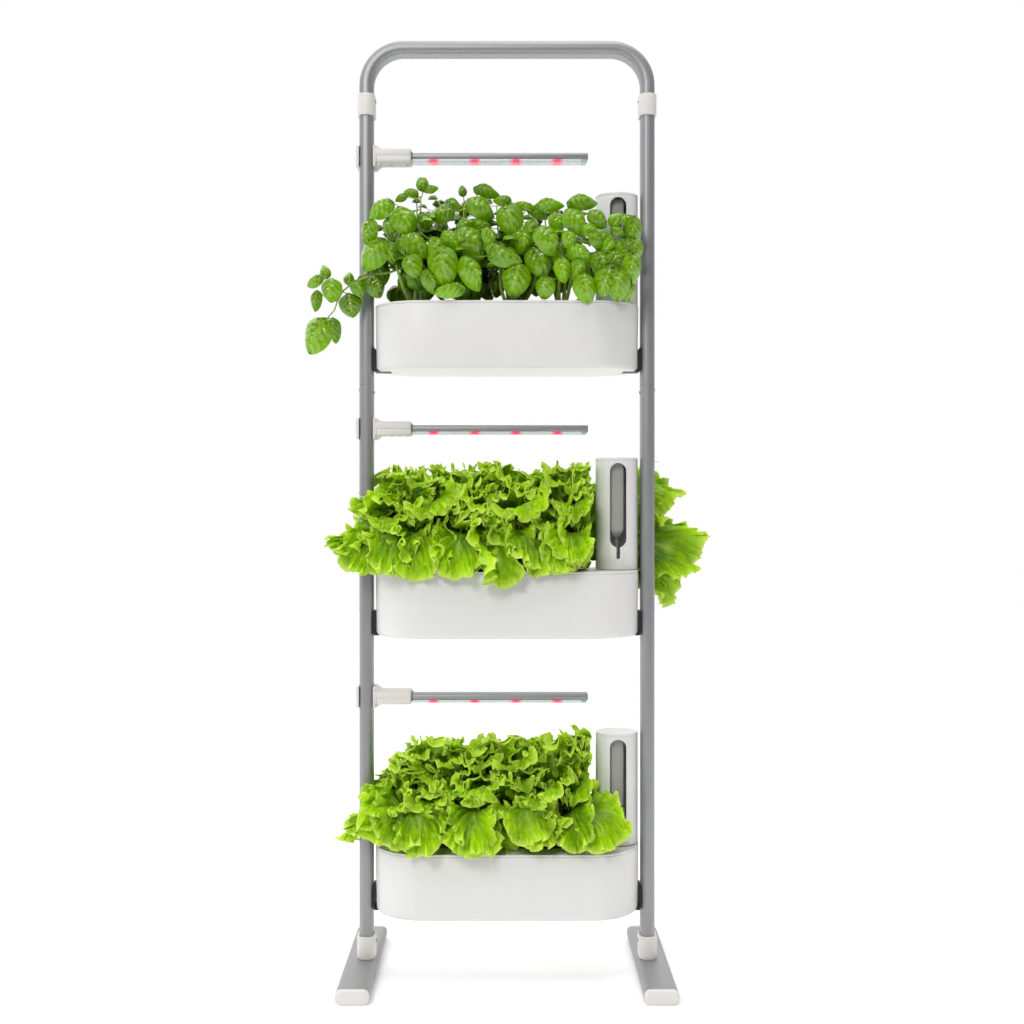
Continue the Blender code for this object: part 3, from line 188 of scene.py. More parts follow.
# %% [markdown]
# The steel tube is powder coated: a sprayed powder that melts into a satin skin. Up close it has an
# orange peel, here about 1.2 mm across, and it is a touch rougher where hands touch it. The white parts
# are injection moulded: ABS for tubs and towers, nylon for the small parts that carry load. Moulded
# plastic is very even, so it only gets a slow drift of tone and a grain that breaks the reflections.

# %% Steel, plastics and aluminium


def powder_coated_steel():
    made, tree, shader = material("powder_coated_steel", {
        "Base Color": linear("#a0a0a2"), "Roughness": 0.46, "Metallic": 0.56,
    })
    place, patches, _ = mottled(tree, shader, "#9d9d9f", "#a3a3a5", 0.060)
    grained(tree, shader, place, 0.0012, 0.00001, 0.5)
    worn = add_node(tree, "ShaderNodeMapRange", None, {
        "Value": patches.outputs["Fac"], "To Min": 0.43, "To Max": 0.50,
    })
    tree.links.new(worn.outputs["Result"], shader.inputs["Roughness"])
    return made


def moulded_plastic(name, dark, light, roughness, grain_size, grain_height):
    made, tree, shader = material(name, {"Base Color": linear(light), "Roughness": roughness, "IOR": 1.5})
    place, _, _ = mottled(tree, shader, dark, light, 0.080)
    grained(tree, shader, place, grain_size, grain_height)
    return made


def anodised_aluminium():
    made, tree, shader = material("anodised_aluminium", {
        "Base Color": linear("#b2b2b5"), "Roughness": 0.48, "Metallic": 0.6,
    })
    place, _, _ = mottled(tree, shader, "#9c9c9f", "#a4a4a7", 0.050)
    # The extruding die leaves fine lines along the bar, 0.8 mm wide and drawn out along X
    along = add_node(tree, "ShaderNodeMapping", None, {
        "Vector": place.outputs["Object"], "Scale": (0.02, 1.0, 1.0),
    })
    lines = add_node(tree, "ShaderNodeTexNoise", None, {
        "Vector": along.outputs["Vector"], "Scale": 1 / 0.0008, "Detail": 1.0,
    })
    bumped(tree, shader, lines.outputs["Fac"], 0.00003, 0.8)
    return made


STEEL = powder_coated_steel()
ABS = moulded_plastic("moulded_abs", "#e6e5e3", "#ebeae8", 0.40, 0.0009, 0.00002)
NYLON = moulded_plastic("moulded_nylon", "#e2deda", "#e8e4e0", 0.50, 0.0007, 0.00004)
BLACK_PLASTIC = moulded_plastic("black_polypropylene", "#161617", "#1f1f21", 0.55, 0.0008, 0.00005)
GAUGE_PLASTIC = moulded_plastic("grey_gauge_plastic", "#aaa9a4", "#b2b1ac", 0.45, 0.0008, 0.00002)
ALUMINIUM = anodised_aluminium()
print([made.name for made in bpy.data.materials if made.use_nodes][-6:])

# %% [markdown]
# The lamp's strip is clear polycarbonate with fine prisms across it, which spread the light of the
# board above. Four red lights sit 66.5 mm apart, and each lights up a soft patch of the strip, so the
# material adds a glow that repeats at that pitch along X. The board itself is white solder mask.

# %% Lamp finishes
RED_LIGHT_PITCH = 0.0665
FIRST_RED_LIGHT_X = -0.1185
RED_PATCH_CORE, RED_PATCH_EDGE = 0.003, 0.012
END_CAP_X = 0.119
PRISM_PITCH = 0.005
WAVE_RADIANS = 20


def prismatic_strip():
    made, tree, shader = material("prismatic_polycarbonate", {
        "Base Color": linear("#dfe9ee"), "Roughness": 0.22, "IOR": 1.58, "Alpha": 0.86,
        "Emission Strength": 0.38,
    })
    place = add_node(tree, "ShaderNodeTexCoord")
    axes = add_node(tree, "ShaderNodeSeparateXYZ", None, {"Vector": place.outputs["Object"]})
    shifted = add_node(tree, "ShaderNodeMath", {"operation": "SUBTRACT"}, {
        0: axes.outputs["X"], 1: FIRST_RED_LIGHT_X,
    })
    folded = add_node(tree, "ShaderNodeMath", {"operation": "PINGPONG"}, {
        0: shifted.outputs["Value"], 1: RED_LIGHT_PITCH / 2,
    })
    patch = add_node(tree, "ShaderNodeMapRange", {"interpolation_type": "SMOOTHSTEP"}, {
        "Value": folded.outputs["Value"], "From Min": RED_PATCH_CORE, "From Max": RED_PATCH_EDGE,
        "To Min": 1.0, "To Max": 0.0,
    })
    # The last centimetres are the end cap, a little greyer and bluer
    capped = add_node(tree, "ShaderNodeMapRange", None, {
        "Value": axes.outputs["X"], "From Min": END_CAP_X, "From Max": END_CAP_X + 0.001,
    })
    body = blend(tree, capped.outputs["Result"], "#dfe7eb", "#9fb4c2")
    # Painted light: inside each lit patch the base colour turns red, as the red light through the strip makes
    # it look; the glow below is the lamp's own light
    red_lit_colour = blend(tree, patch.outputs["Result"], body.outputs["Result"], "#f0577f")
    tree.links.new(red_lit_colour.outputs["Result"], shader.inputs["Base Color"])
    glow = blend(tree, patch.outputs["Result"], "#86888e", "#ff3c66")
    tree.links.new(glow.outputs["Result"], shader.inputs["Emission Color"])
    # The prisms are 5 mm apart, coarser than real ones, so that they show; a wave has 20 radians a unit
    prisms = add_node(tree, "ShaderNodeTexWave", {"bands_direction": "X"}, {
        "Vector": place.outputs["Object"], "Scale": 2 * math.pi / (WAVE_RADIANS * PRISM_PITCH),
    })
    bumped(tree, shader, prisms.outputs["Fac"], 0.0006, 0.6)
    return made


def light_chip(name, hex_value, strength):
    return material(name, {
        "Base Color": linear(hex_value), "Roughness": 0.3,
        "Emission Color": linear(hex_value), "Emission Strength": strength,
    })[0]


def zinc_plated_steel():
    made, tree, shader = material("zinc_plated_steel", {
        "Base Color": linear("#8d8f92"), "Metallic": 1.0, "Roughness": 0.32,
    })
    mottled(tree, shader, "#7c7e80", "#a3a5a8", 0.002)
    return made


STRIP = prismatic_strip()
BOARD = moulded_plastic("white_solder_mask", "#e9edee", "#f2f4f4", 0.35, 0.0010, 0.00002)
RED_CHIP = light_chip("red_light_chip", "#ff2040", 9.0)
WHITE_CHIP = light_chip("white_light_chip", "#dff2ff", 1.6)
SCREW_STEEL = zinc_plated_steel()

# %% [markdown]
# ## Modelling helpers
#
# Most rigid pieces are lofts: a skin over a pile of outlines that have equally many points. Outlines
# and lofts are plain lists of points, so a rounded edge is only a few more outlines that draw in along
# a quarter circle. A piece is finished with a small bevel, because no moulded edge is a knife edge, and
# smooth shading up to an angle.

# %% Outlines, lofts, cuts and finishing
CORNER_STEPS = 8
END_STEPS = 44
SMOOTH_ANGLE = math.radians(35)


def rounded(width, depth, corner, steps=CORNER_STEPS):
    """Outline of a rectangle with rounded corners, centred on the origin."""
    outline = []
    for quarter, (side_x, side_y) in enumerate(((1, 1), (-1, 1), (-1, -1), (1, -1))):
        for step in range(steps + 1):
            angle = (quarter + step / steps) * math.pi / 2
            outline.append((
                side_x * (width / 2 - corner) + corner * math.cos(angle),
                side_y * (depth / 2 - corner) + corner * math.sin(angle),
            ))
    return outline


def grown(section, by, steps=CORNER_STEPS):
    """Outline of a section of (width, depth, corner), grown by a distance or drawn in by a negative one."""
    width, depth, corner = section
    return rounded(width + 2 * by, depth + 2 * by, corner + by, steps)


def ring_at(outline, height):
    return [(x, y, height) for x, y in outline]


def new_object(name, mesh):
    made = bpy.data.objects.new(name, mesh)
    scene.collection.objects.link(made)
    return made


def weld(cage, distance=1e-6):
    """Joins the doubled points of a bmesh and turns its faces out."""
    bmesh.ops.remove_doubles(cage, verts=cage.verts, dist=distance)
    bmesh.ops.recalc_face_normals(cage, faces=cage.faces)


def welded(made, distance=1e-6):
    cage = bmesh.new()
    cage.from_mesh(made.data)
    weld(cage, distance)
    cage.to_mesh(made.data)
    cage.free()
    return made


def mesh_object(name, cage):
    """A mesh object from a bmesh, welded, with its faces pointing out."""
    weld(cage)
    mesh = bpy.data.meshes.new(name)
    cage.to_mesh(mesh)
    cage.free()
    return new_object(name, mesh)


def loft(name, rings, closed=False):
    """A skin over rings of equally many points, capped at both ends or closed into itself."""
    cage = bmesh.new()
    loops = [[cage.verts.new(point) for point in ring] for ring in rings]
    for lower, upper in zip(loops, loops[1:] + [loops[0]] if closed else loops[1:]):
        for index, vertex in enumerate(lower):
            after = (index + 1) % len(lower)
            cage.faces.new((vertex, lower[after], upper[after], upper[index]))
    if not closed:
        cage.faces.new(loops[0])
        cage.faces.new(loops[-1])
    return mesh_object(name, cage)


def turned(name, profile, steps=96, closed=False):
    """A profile of (radius, height) points turned about Z; a point on the axis becomes a pole."""
    angles = [2 * math.pi * step / steps for step in range(steps)]
    rings = [
        [(radius * math.cos(angle), radius * math.sin(angle), height) for angle in angles]
        for radius, height in profile
    ]
    return loft(name, rings, closed)


def box(name, low, high):
    cage = bmesh.new()
    bmesh.ops.create_cube(cage, size=1)
    low, high = Vector(low), Vector(high)
    cage.transform(Matrix.Translation((low + high) / 2) @ Matrix.Diagonal((*(high - low), 1)))
    return mesh_object(name, cage)


def prism(name, outline, low, high):
    return loft(name, [ring_at(outline, low), ring_at(outline, high)])


def moved(made, matrix):
    made.data.transform(matrix)
    return made


def lay_down(made):
    """Turns a piece made upright so that its length runs along Y."""
    return moved(made, Matrix.Rotation(math.pi / 2, 4, "X"))


def baked(made):
    """The piece as its modifiers show it, as a plain mesh."""
    graph = bpy.context.evaluated_depsgraph_get()
    shown = bpy.data.meshes.new_from_object(made.evaluated_get(graph))
    made.modifiers.clear()
    old = made.data
    made.data = shown
    bpy.data.meshes.remove(old)
    return made


def combined(made, tool, operation="DIFFERENCE"):
    """The piece cut by a tool or joined with it; the tool is used up."""
    step = made.modifiers.new("cut", "BOOLEAN")
    step.operation = operation
    step.solver = "EXACT"
    step.object = tool
    baked(made)
    bpy.data.objects.remove(tool)
    return made


def cut_box(made, low, high):
    return combined(made, box("cutter", low, high))


def soft_edges(made, width, segments=3, angle=40):
    step = made.modifiers.new("edges", "BEVEL")
    step.width = width
    step.segments = segments
    step.limit_method = "ANGLE"
    step.angle_limit = math.radians(angle)
    return baked(made)


def thickened(made, thickness, offset=0, even=False):
    """A wall on a skin: it grows inwards with an offset of -1 and to both sides with 0."""
    wall = made.modifiers.new("wall", "SOLIDIFY")
    wall.thickness, wall.offset, wall.use_even_offset = thickness, offset, even
    return baked(made)


def repaint(made, finish):
    made.data.materials.clear()
    made.data.materials.append(finish)


def finished(made, name, finish, body, slot, *nodes):
    """Names a piece, gives it its finish, lets it ride on its body and stand for its CAD nodes."""
    made.name = name
    made.data.name = name
    if finish is not None:
        repaint(made, finish)
    made.data.shade_smooth()
    made.data.set_sharp_from_angle(angle=SMOOTH_ANGLE)
    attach(made, body)
    if nodes:
        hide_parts(*nodes)
    return made


def placed(model, offset):
    """A copy of a model with its place in its mesh."""
    return moved(new_object(model.name, model.data.copy()), Matrix.Translation(offset))


def spent(*models):
    for model in models:
        bpy.data.objects.remove(model)


def quarter_round(steps=4):
    """Shares of drawing in and rising along a quarter circle."""
    return [(1 - math.sin(t), 1 - math.cos(t)) for t in (i / steps * math.pi / 2 for i in range(steps + 1))]


# %% [markdown]
# ## The steel tube
#
# Posts, hoop and feet are all one flat-oval tube, drawn straight or bent. A Geometry Nodes tree makes
# any of them from a path: a rounded rectangle is swept along the path, with its depth kept in a given
# direction, so the bends of the hoop don't twist. The same tree with other numbers makes the feet.

# %% A tree that draws a tube along a path
POST_WIDTH, POST_DEPTH, POST_CORNER, TUBE_WALL = 0.022, 0.038, 0.0095, 0.0015
FOOT_WIDTH, FOOT_HEIGHT, FOOT_CORNER = 0.052, 0.022, 0.009


def new_tree(name, sockets):
    """A Geometry Nodes tree with a geometry input and output and further named inputs."""
    tree = bpy.data.node_groups.new(name, "GeometryNodeTree")
    tree.interface.new_socket("Geometry", in_out="INPUT", socket_type="NodeSocketGeometry")
    tree.interface.new_socket("Geometry", in_out="OUTPUT", socket_type="NodeSocketGeometry")
    for socket, kind in sockets.items():
        tree.interface.new_socket(socket, in_out="INPUT", socket_type=kind)
    return tree, add_node(tree, "NodeGroupInput"), add_node(tree, "NodeGroupOutput")


def close_tree(tree, group_in, group_out, geometry):
    """Ends a tree in Realize Instances and Set Material, because instances don't survive an export."""
    real = add_node(tree, "GeometryNodeRealizeInstances", None, {"Geometry": geometry})
    painted = add_node(tree, "GeometryNodeSetMaterial", None, {
        "Geometry": real.outputs["Geometry"], "Material": group_in.outputs["Material"],
    })
    tree.links.new(painted.outputs["Geometry"], group_out.inputs["Geometry"])
    return tree


def grow(made, tree, values):
    """Runs a tree on an object with named inputs and keeps the result as a plain mesh."""
    step = made.modifiers.new(tree.name, "NODES")
    step.node_group = tree
    for socket in tree.interface.items_tree:
        if socket.item_type == "SOCKET" and socket.in_out == "INPUT" and socket.name in values:
            step[socket.identifier] = values[socket.name]
    made.update_tag()
    bpy.context.view_layer.update()
    return baked(made)


def tube_tree():
    tree, given, out = new_tree("drawn_tube", {
        "Width": "NodeSocketFloat", "Depth": "NodeSocketFloat", "Corner": "NodeSocketFloat",
        "Depth Direction": "NodeSocketVector", "Material": "NodeSocketMaterial",
    })
    path = add_node(tree, "GeometryNodeMeshToCurve", None, {"Mesh": given.outputs["Geometry"]})
    kept = add_node(tree, "GeometryNodeSetCurveNormal", {"mode": "FREE"}, {
        "Curve": path.outputs["Curve"], "Normal": given.outputs["Depth Direction"],
    })
    section = add_node(tree, "GeometryNodeCurvePrimitiveQuadrilateral", None, {
        "Width": given.outputs["Depth"], "Height": given.outputs["Width"],
    })
    eased = add_node(tree, "GeometryNodeFilletCurve", {"mode": "POLY"}, {
        "Curve": section.outputs["Curve"], "Count": CORNER_STEPS, "Radius": given.outputs["Corner"],
    })
    skin = add_node(tree, "GeometryNodeCurveToMesh", None, {
        "Curve": kept.outputs["Curve"], "Profile Curve": eased.outputs["Curve"],
    })
    return close_tree(tree, given, out, skin.outputs["Mesh"])


TUBE = tube_tree()


def tube(name, points, section, depth_direction):
    """A steel tube along a path of points, its wall grown inwards."""
    mesh = bpy.data.meshes.new(name)
    mesh.from_pydata(points, [(i, i + 1) for i in range(len(points) - 1)], [])
    width, depth, corner = section
    made = grow(new_object(name, mesh), TUBE, {
        "Width": width, "Depth": depth, "Corner": corner, "Depth Direction": depth_direction,
        "Material": STEEL,
    })
    return thickened(welded(made), TUBE_WALL, -1, True)


# %% [markdown]
# The hoop's path is two straights and two quarter circles of 60 mm radius, 24 steps each. The posts
# meet the hoop inside the white sleeves, and a lower and an upper length meet half way up, where small
# screws hold the spigot joint.

# %% Posts, hoop and feet
POST_X = 0.227
HOOP_BEND = 0.060
BEND_STEPS = 24
FIT_GAP = 0.0003
POST_SECTION = (POST_WIDTH, POST_DEPTH, POST_CORNER)
FOOT_SECTION = (FOOT_WIDTH, FOOT_HEIGHT, FOOT_CORNER)
SIDES = (("left", -1), ("right", 1))


def hoop_path(low, top):
    points = [(POST_X, 0, low)]
    for step in range(BEND_STEPS + 1):
        angle = step / BEND_STEPS * math.pi / 2
        points.append((
            POST_X - HOOP_BEND + HOOP_BEND * math.cos(angle), 0, top - HOOP_BEND + HOOP_BEND * math.sin(angle)
        ))
    return points + [(-x, y, z) for x, y, z in reversed(points)]


def steel_piece(name, node, path, section, depth_direction):
    return finished(tube(name, path, section, depth_direction), name, STEEL, "garden", "steel", node)


low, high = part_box("top_hoop")
hoop_points = hoop_path(low.z, high.z - POST_WIDTH / 2)
hoop = steel_piece("bent_hoop", "top_hoop", hoop_points, POST_SECTION, (0, 1, 0))
for hand, side in SIDES:
    for part in ("lower", "upper"):
        node = f"post_{hand}_{part}"
        low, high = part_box(node)
        base = low.z if part == "lower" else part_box(f"post_{hand}_lower")[1].z + FIT_GAP
        path = [(side * POST_X, 0, base), (side * POST_X, 0, high.z)]
        post = steel_piece(f"drawn_{node}", node, path, POST_SECTION, (0, 1, 0))
    node = f"foot_{hand}"
    low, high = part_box(node)
    middle = (low + high) / 2
    path = [(middle.x, low.y, middle.z), (middle.x, high.y, middle.z)]
    foot = steel_piece(f"drawn_{node}", node, path, FOOT_SECTION, (0, 0, 1))
print("tube pieces", [tuple(round(v, 4) for v in p.dimensions) for p in (hoop, post, foot)])

# %% [markdown]
# Sleeves, foot sockets and foot caps are small nylon mouldings that follow the tube's outline, a few
# tenths of a millimetre clear of it. They are lofts over the same rounded outline, with the outer edges
# drawn in along a quarter circle.

# %% Sleeves, sockets and foot caps
# Wall over the tube, then the rounding of the lower and of the upper edge
COLLARS = {"sleeve": (0.0031, 0.0010, 0.0018), "socket": (0.0036, 0.0006, 0.0016)}
BORE_MARGIN = 0.0004
CAP_FACE, CAP_EDGE = 0.159, 0.0026
# The plug behind a cap's face: how far its outlines are drawn in, and how far back they lie
CAP_PLUG = ((0.0019, 0.021), (0.0019, 0.009), (FIT_GAP, 0.0088), (0.0, 0.0084))


def collar(wall, edge_low, edge_high, low, high):
    """A ring round the post: rounded outer edges, and a straight bore with the tube in it."""
    rings = [
        ring_at(grown(POST_SECTION, wall - edge_low * rise), low + edge_low * drawn)
        for drawn, rise in reversed(quarter_round())
    ]
    rings += [
        ring_at(grown(POST_SECTION, wall - edge_high * rise), high - edge_high * drawn)
        for drawn, rise in quarter_round()
    ]
    rings += [ring_at(grown(POST_SECTION, FIT_GAP), at) for at in (high - BORE_MARGIN, low + BORE_MARGIN)]
    return loft("collar", rings, closed=True)


def foot_cap():
    """A rounded face, and behind it the plug that enters the tube."""
    rings = [ring_at(grown(FOOT_SECTION, -inset), CAP_FACE - back) for inset, back in CAP_PLUG]
    rings += [
        ring_at(grown(FOOT_SECTION, -CAP_EDGE * rise), CAP_FACE - CAP_EDGE * drawn)
        for drawn, rise in quarter_round()
    ]
    return lay_down(loft("cap", rings))


for hand, side in SIDES:
    for part, sizes in COLLARS.items():
        node = f"{part}_{hand}"
        low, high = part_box(node)
        ring = moved(collar(*sizes, low.z, high.z), Matrix.Translation((side * POST_X, 0, 0)))
        finished(ring, f"moulded_{node}", NYLON, "garden", "nylon", node)
    for end, turn in (("front", 0), ("rear", math.pi)):
        node = f"foot_cap_{hand}_{end}"
        low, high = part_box(node)
        middle = (low + high) / 2
        cap = moved(foot_cap(), Matrix.Translation((middle.x, 0, middle.z)) @ Matrix.Rotation(turn, 4, "Z"))
        finished(cap, f"moulded_{node}", NYLON, "garden", "nylon", node)
print("socket and cap", [[round(v * 1000, 1) for v in piece.dimensions] for piece in (ring, cap)])

# %% [markdown]
# ## The planter
#
# Tub and lid share one stadium outline: two half circles and two straights. The tub narrows a little
# towards its floor, the draft that lets a moulding leave its mould, and its floor edge is rounded. The
# lid lies on the rim with a hair of shadow between them. It is cut for the grow tray and the tower.

# %% Tub and lid
TUB_HALF_LENGTH, TUB_HALF_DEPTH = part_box("tub_top")[1].xy
TUB_DRAFT, TUB_WALL, FLOOR_ROUND, RIM_ROUND = 0.0016, 0.0025, 0.007, 0.0008
FLOOR_HEIGHT, INNER_ROUND_HEIGHT, INNER_ROUND = 0.0066, 0.012, 0.002
# The bracket ledges that enter the tub's underside
LEDGE_LENGTH, LEDGE_HALF_DEPTH, LEDGE_HEIGHT = 0.0256, 0.0176, 0.0043
LID_THICKNESS, LID_EDGE, LID_CHAMFER = 0.0034, 0.0009, 0.0004
REBATE_DEPTH, REBATE_CORNER, OPENING_INSET, OPENING_CORNER = 0.0020, 0.0233, 0.003, 0.020
SEAT_RADIUS = 0.0283
TOWER_RADIUS = 0.034
TOWER_X = sum(corner.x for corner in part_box("tower_casing_top")) / 2
TIERS = {tier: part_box(f"deck_{tier}")[1].z for tier in ("low", "middle", "top")}
# How far a cutter reaches past what it cuts
PAST = 0.004


def stadium(inset=0.0, steps=END_STEPS):
    outline, radius = [], TUB_HALF_DEPTH - inset
    for side in (1, -1):
        centre = side * (TUB_HALF_LENGTH - TUB_HALF_DEPTH)
        for step in range(steps + 1):
            angle = (step / steps - side / 2) * math.pi
            outline.append((centre + radius * math.cos(angle), radius * math.sin(angle)))
    return outline


def tub_model(base, rim):
    rings = [
        ring_at(stadium(TUB_DRAFT + FLOOR_ROUND * drawn), base + FLOOR_ROUND * rise)
        for drawn, rise in quarter_round(8)
    ]
    rings.append(ring_at(stadium(), rim - RIM_ROUND))
    rings += [ring_at(stadium(RIM_ROUND * rise), rim - RIM_ROUND * drawn) for drawn, rise in quarter_round()]
    for inset, height in (
        (TUB_WALL, rim), (TUB_WALL + TUB_DRAFT, base + INNER_ROUND_HEIGHT),
        (TUB_WALL + TUB_DRAFT + INNER_ROUND, base + FLOOR_HEIGHT + TUB_WALL),
    ):
        rings.append(ring_at(stadium(inset), height))
    made = loft("tub", rings)
    for side in (-1, 1):
        inner, outer = sorted((side * (TUB_HALF_LENGTH - LEDGE_LENGTH), side * (TUB_HALF_LENGTH + PAST)))
        cut_box(
            made, (inner, -LEDGE_HALF_DEPTH, base - PAST), (outer, LEDGE_HALF_DEPTH, base + LEDGE_HEIGHT)
        )
    return made


def lid_model():
    rings = [ring_at(stadium(LID_CHAMFER), -LID_THICKNESS), ring_at(stadium(), -LID_THICKNESS + LID_CHAMFER)]
    rings += [ring_at(stadium(LID_EDGE * rise), -LID_EDGE * drawn) for drawn, rise in quarter_round()]
    made = loft("lid", rings)
    low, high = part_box("grow_tray_top")
    length, depth = high.x - low.x, high.y - low.y
    rebate = rounded(length + 2 * FIT_GAP, depth + 2 * FIT_GAP, REBATE_CORNER, 12)
    opening = rounded(length - 2 * OPENING_INSET, depth - 2 * OPENING_INSET, OPENING_CORNER, 12)
    shift = Matrix.Translation(((low.x + high.x) / 2, 0, 0))
    for outline, base in ((rebate, -REBATE_DEPTH), (opening, -2 * PAST)):
        combined(made, moved(prism("cutter", outline, base, PAST), shift))
    seat = turned("seat", [(SEAT_RADIUS, -2 * PAST), (SEAT_RADIUS, PAST)], 64)
    return combined(made, moved(seat, Matrix.Translation((TOWER_X, 0, 0))))


tub_low, tub_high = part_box("tub_top")
tub, lid = tub_model(tub_low.z - TIERS["top"], tub_high.z - TIERS["top"]), lid_model()
for tier, height in TIERS.items():
    finished(placed(tub, (0, 0, height)), f"moulded_tub_{tier}", ABS, "garden", "abs", f"tub_{tier}")
    finished(placed(lid, (0, 0, height)), f"moulded_lid_{tier}", ABS, "garden", "abs", f"deck_{tier}")
    for node in (f"grow_tray_{tier}", f"bracket_left_{tier}", f"bracket_right_{tier}"):
        repaint(frame["nodes"][node], BLACK_PLASTIC)
spent(tub, lid)
print(f"tub {2 * TUB_HALF_LENGTH * 1000:.0f} x {2 * TUB_HALF_DEPTH * 1000:.0f} mm, lids at", TIERS)

# %% [markdown]
# ## The water tower
#
# Water is poured in under the cap of the tower, and a grey indicator behind the keyhole window shows
# the level. The casing is a turned profile. Its window is cut with a prism in the shape of a keyhole,
# and a bevel of half a millimetre then softens the edge of the window only, as the mould would.

# %% Casing, cap and gauge
TOWER_HEIGHT = 0.180
WINDOW_WIDTH, SLOT_WIDTH = 0.026, 0.0057
WINDOW_TOP, WINDOW_BOTTOM, SLOT_BOTTOM = (TOWER_HEIGHT - drop for drop in (0.0087, 0.1435, 0.162))
CASING_RIM, CASING_WALL, CASING_FLOOR = TOWER_HEIGHT - 0.0043, 0.0022, 0.0039
GROOVE_DEPTH, GROOVE_HEIGHT = 0.0025, 0.0014
SPIGOT_RADIUS, SPIGOT_BORE, SPIGOT_LENGTH, GUIDE_RADIUS = 0.028, 0.0258, 0.009, 0.0034
CAP_BASE, CAP_ROUND, DISH_RADIUS, DISH_DEPTH = TOWER_HEIGHT - 0.004, 0.0016, 0.0285, 0.0008
SKIRT_OUTER, SKIRT_INNER, SKIRT_LENGTH = 0.0315, 0.0299, 0.0035
# The gauge: top, shoulder and neck of the indicator, top and base of the float
GAUGE_HEIGHTS = (TOWER_HEIGHT - 0.0085, TOWER_HEIGHT - 0.117, TOWER_HEIGHT - 0.131, -0.012, -0.026)


def keyhole_outline(steps=14):
    half, slot = WINDOW_WIDTH / 2, SLOT_WIDTH / 2
    meet = math.asin(slot / half)

    def arc(radius, centre, start, end):
        angles = [start + (end - start) * i / steps for i in range(steps + 1)]
        return [(radius * math.cos(angle), centre + radius * math.sin(angle)) for angle in angles]

    outline = arc(half, WINDOW_TOP - half, 0, math.pi)
    outline += arc(half, WINDOW_BOTTOM + half, math.pi, 1.5 * math.pi - meet)
    outline += arc(slot, SLOT_BOTTOM + slot, math.pi, 2 * math.pi)
    outline += arc(half, WINDOW_BOTTOM + half, 1.5 * math.pi + meet, 2 * math.pi)
    return outline


def casing_model():
    groove, bore = TOWER_RADIUS - GROOVE_DEPTH, TOWER_RADIUS - CASING_WALL
    made = turned("casing", [
        (TOWER_RADIUS, CASING_RIM), (TOWER_RADIUS, GROOVE_HEIGHT), (groove, GROOVE_HEIGHT), (groove, FIT_GAP),
        (SPIGOT_RADIUS, FIT_GAP), (SPIGOT_RADIUS, -SPIGOT_LENGTH), (SPIGOT_BORE, -SPIGOT_LENGTH),
        (SPIGOT_BORE, GROOVE_HEIGHT), (GUIDE_RADIUS, GROOVE_HEIGHT), (GUIDE_RADIUS, CASING_FLOOR),
        (bore, CASING_FLOOR), (bore, CASING_RIM),
    ], 128, closed=True)
    combined(made, lay_down(prism("window", keyhole_outline(), TOWER_RADIUS / 2, TOWER_RADIUS + PAST)))
    return soft_edges(made, 0.0005, 2, 50)


def cap_model():
    dish = TOWER_HEIGHT - DISH_DEPTH
    profile = [
        (0.0, dish), (DISH_RADIUS - 0.002, dish), (DISH_RADIUS - 0.0006, TOWER_HEIGHT - DISH_DEPTH / 2),
        (DISH_RADIUS, TOWER_HEIGHT),
    ]
    profile += [
        (TOWER_RADIUS - CAP_ROUND * rise, TOWER_HEIGHT - CAP_ROUND * drawn)
        for drawn, rise in reversed(quarter_round(5))
    ]
    profile += [
        (TOWER_RADIUS, CAP_BASE), (SKIRT_OUTER, CAP_BASE), (SKIRT_OUTER, CAP_BASE - SKIRT_LENGTH),
        (SKIRT_INNER, CAP_BASE - SKIRT_LENGTH), (SKIRT_INNER, CAP_BASE), (0.0, CAP_BASE),
    ]
    return turned("cap", profile)


def gauge_model(top, shoulder, neck, float_top, float_base):
    """The indicator: a flat-fronted body near the window, a neck and stem, and the float in the tub."""
    def section(half_width, front, back, height, corner, aside=0.0):
        outline = rounded(2 * half_width, front + back, corner)
        return ring_at([(x + aside, y + (back - front) / 2) for x, y in outline], height)

    stem, corner, half, front, back, aside, edge = 0.003, 0.003, 0.0116, 0.0205, 0.010, -0.0012, 0.0015
    stem_corner, body, float_edge = 0.0027, 0.021, 0.003
    rings = [section(stem, stem, stem, height, stem_corner) for height in (0.0, neck)]
    rings += [
        section(stem * 1.2, stem * 1.6, stem, neck + 0.002, stem_corner),
        section(half - edge, front - 0.002, back - 0.001, shoulder - 0.002, corner, aside),
        section(half, front, back, shoulder + 0.002, corner, aside),
    ]
    rings += [
        section(half - edge * rise, front - edge * rise, back, top - edge * drawn, corner, aside)
        for drawn, rise in quarter_round()
    ]
    made = loft("gauge", rings)
    rod_top, rod_base = 0.004, float_base + 0.004
    rod = [(0.0, rod_top), (stem, rod_top), (stem, rod_base), (0.0, rod_base)]
    combined(made, turned("stem", rod, 32), "UNION")
    return combined(made, turned("float", [
        (0.0, float_top), (body - float_edge, float_top), (body, float_top - float_edge),
        (body, float_base + float_edge), (body - float_edge, float_base), (0.0, float_base),
    ], 48), "UNION")


casing, cap, gauge = casing_model(), cap_model(), gauge_model(*GAUGE_HEIGHTS)
for tier, height in TIERS.items():
    seat = (TOWER_X, 0, height)
    finished(placed(casing, seat), f"moulded_casing_{tier}", ABS, "garden", "abs", f"tower_casing_{tier}")
    finished(placed(cap, seat), f"moulded_cap_{tier}", ABS, f"cap_{tier}", "abs", f"tower_cap_{tier}")
    finished(
        placed(gauge, seat), f"indicator_{tier}", GAUGE_PLASTIC, f"gauge_{tier}", "gauge",
        f"level_gauge_{tier}"
    )
spent(casing, cap, gauge)
print("tower at", round(TOWER_X, 4))

# %% [markdown]
# ## The grow lamp
#
# A white clamp slides on the left post and carries the arm, which is moulded in two halves with a
# parting line between them. The grey bar is pushed into the arm, and under it sits the clear strip. In
# the solids each edge has one chamfer; here each gets a true round, and a dark ring marks where the bar
# enters the arm.

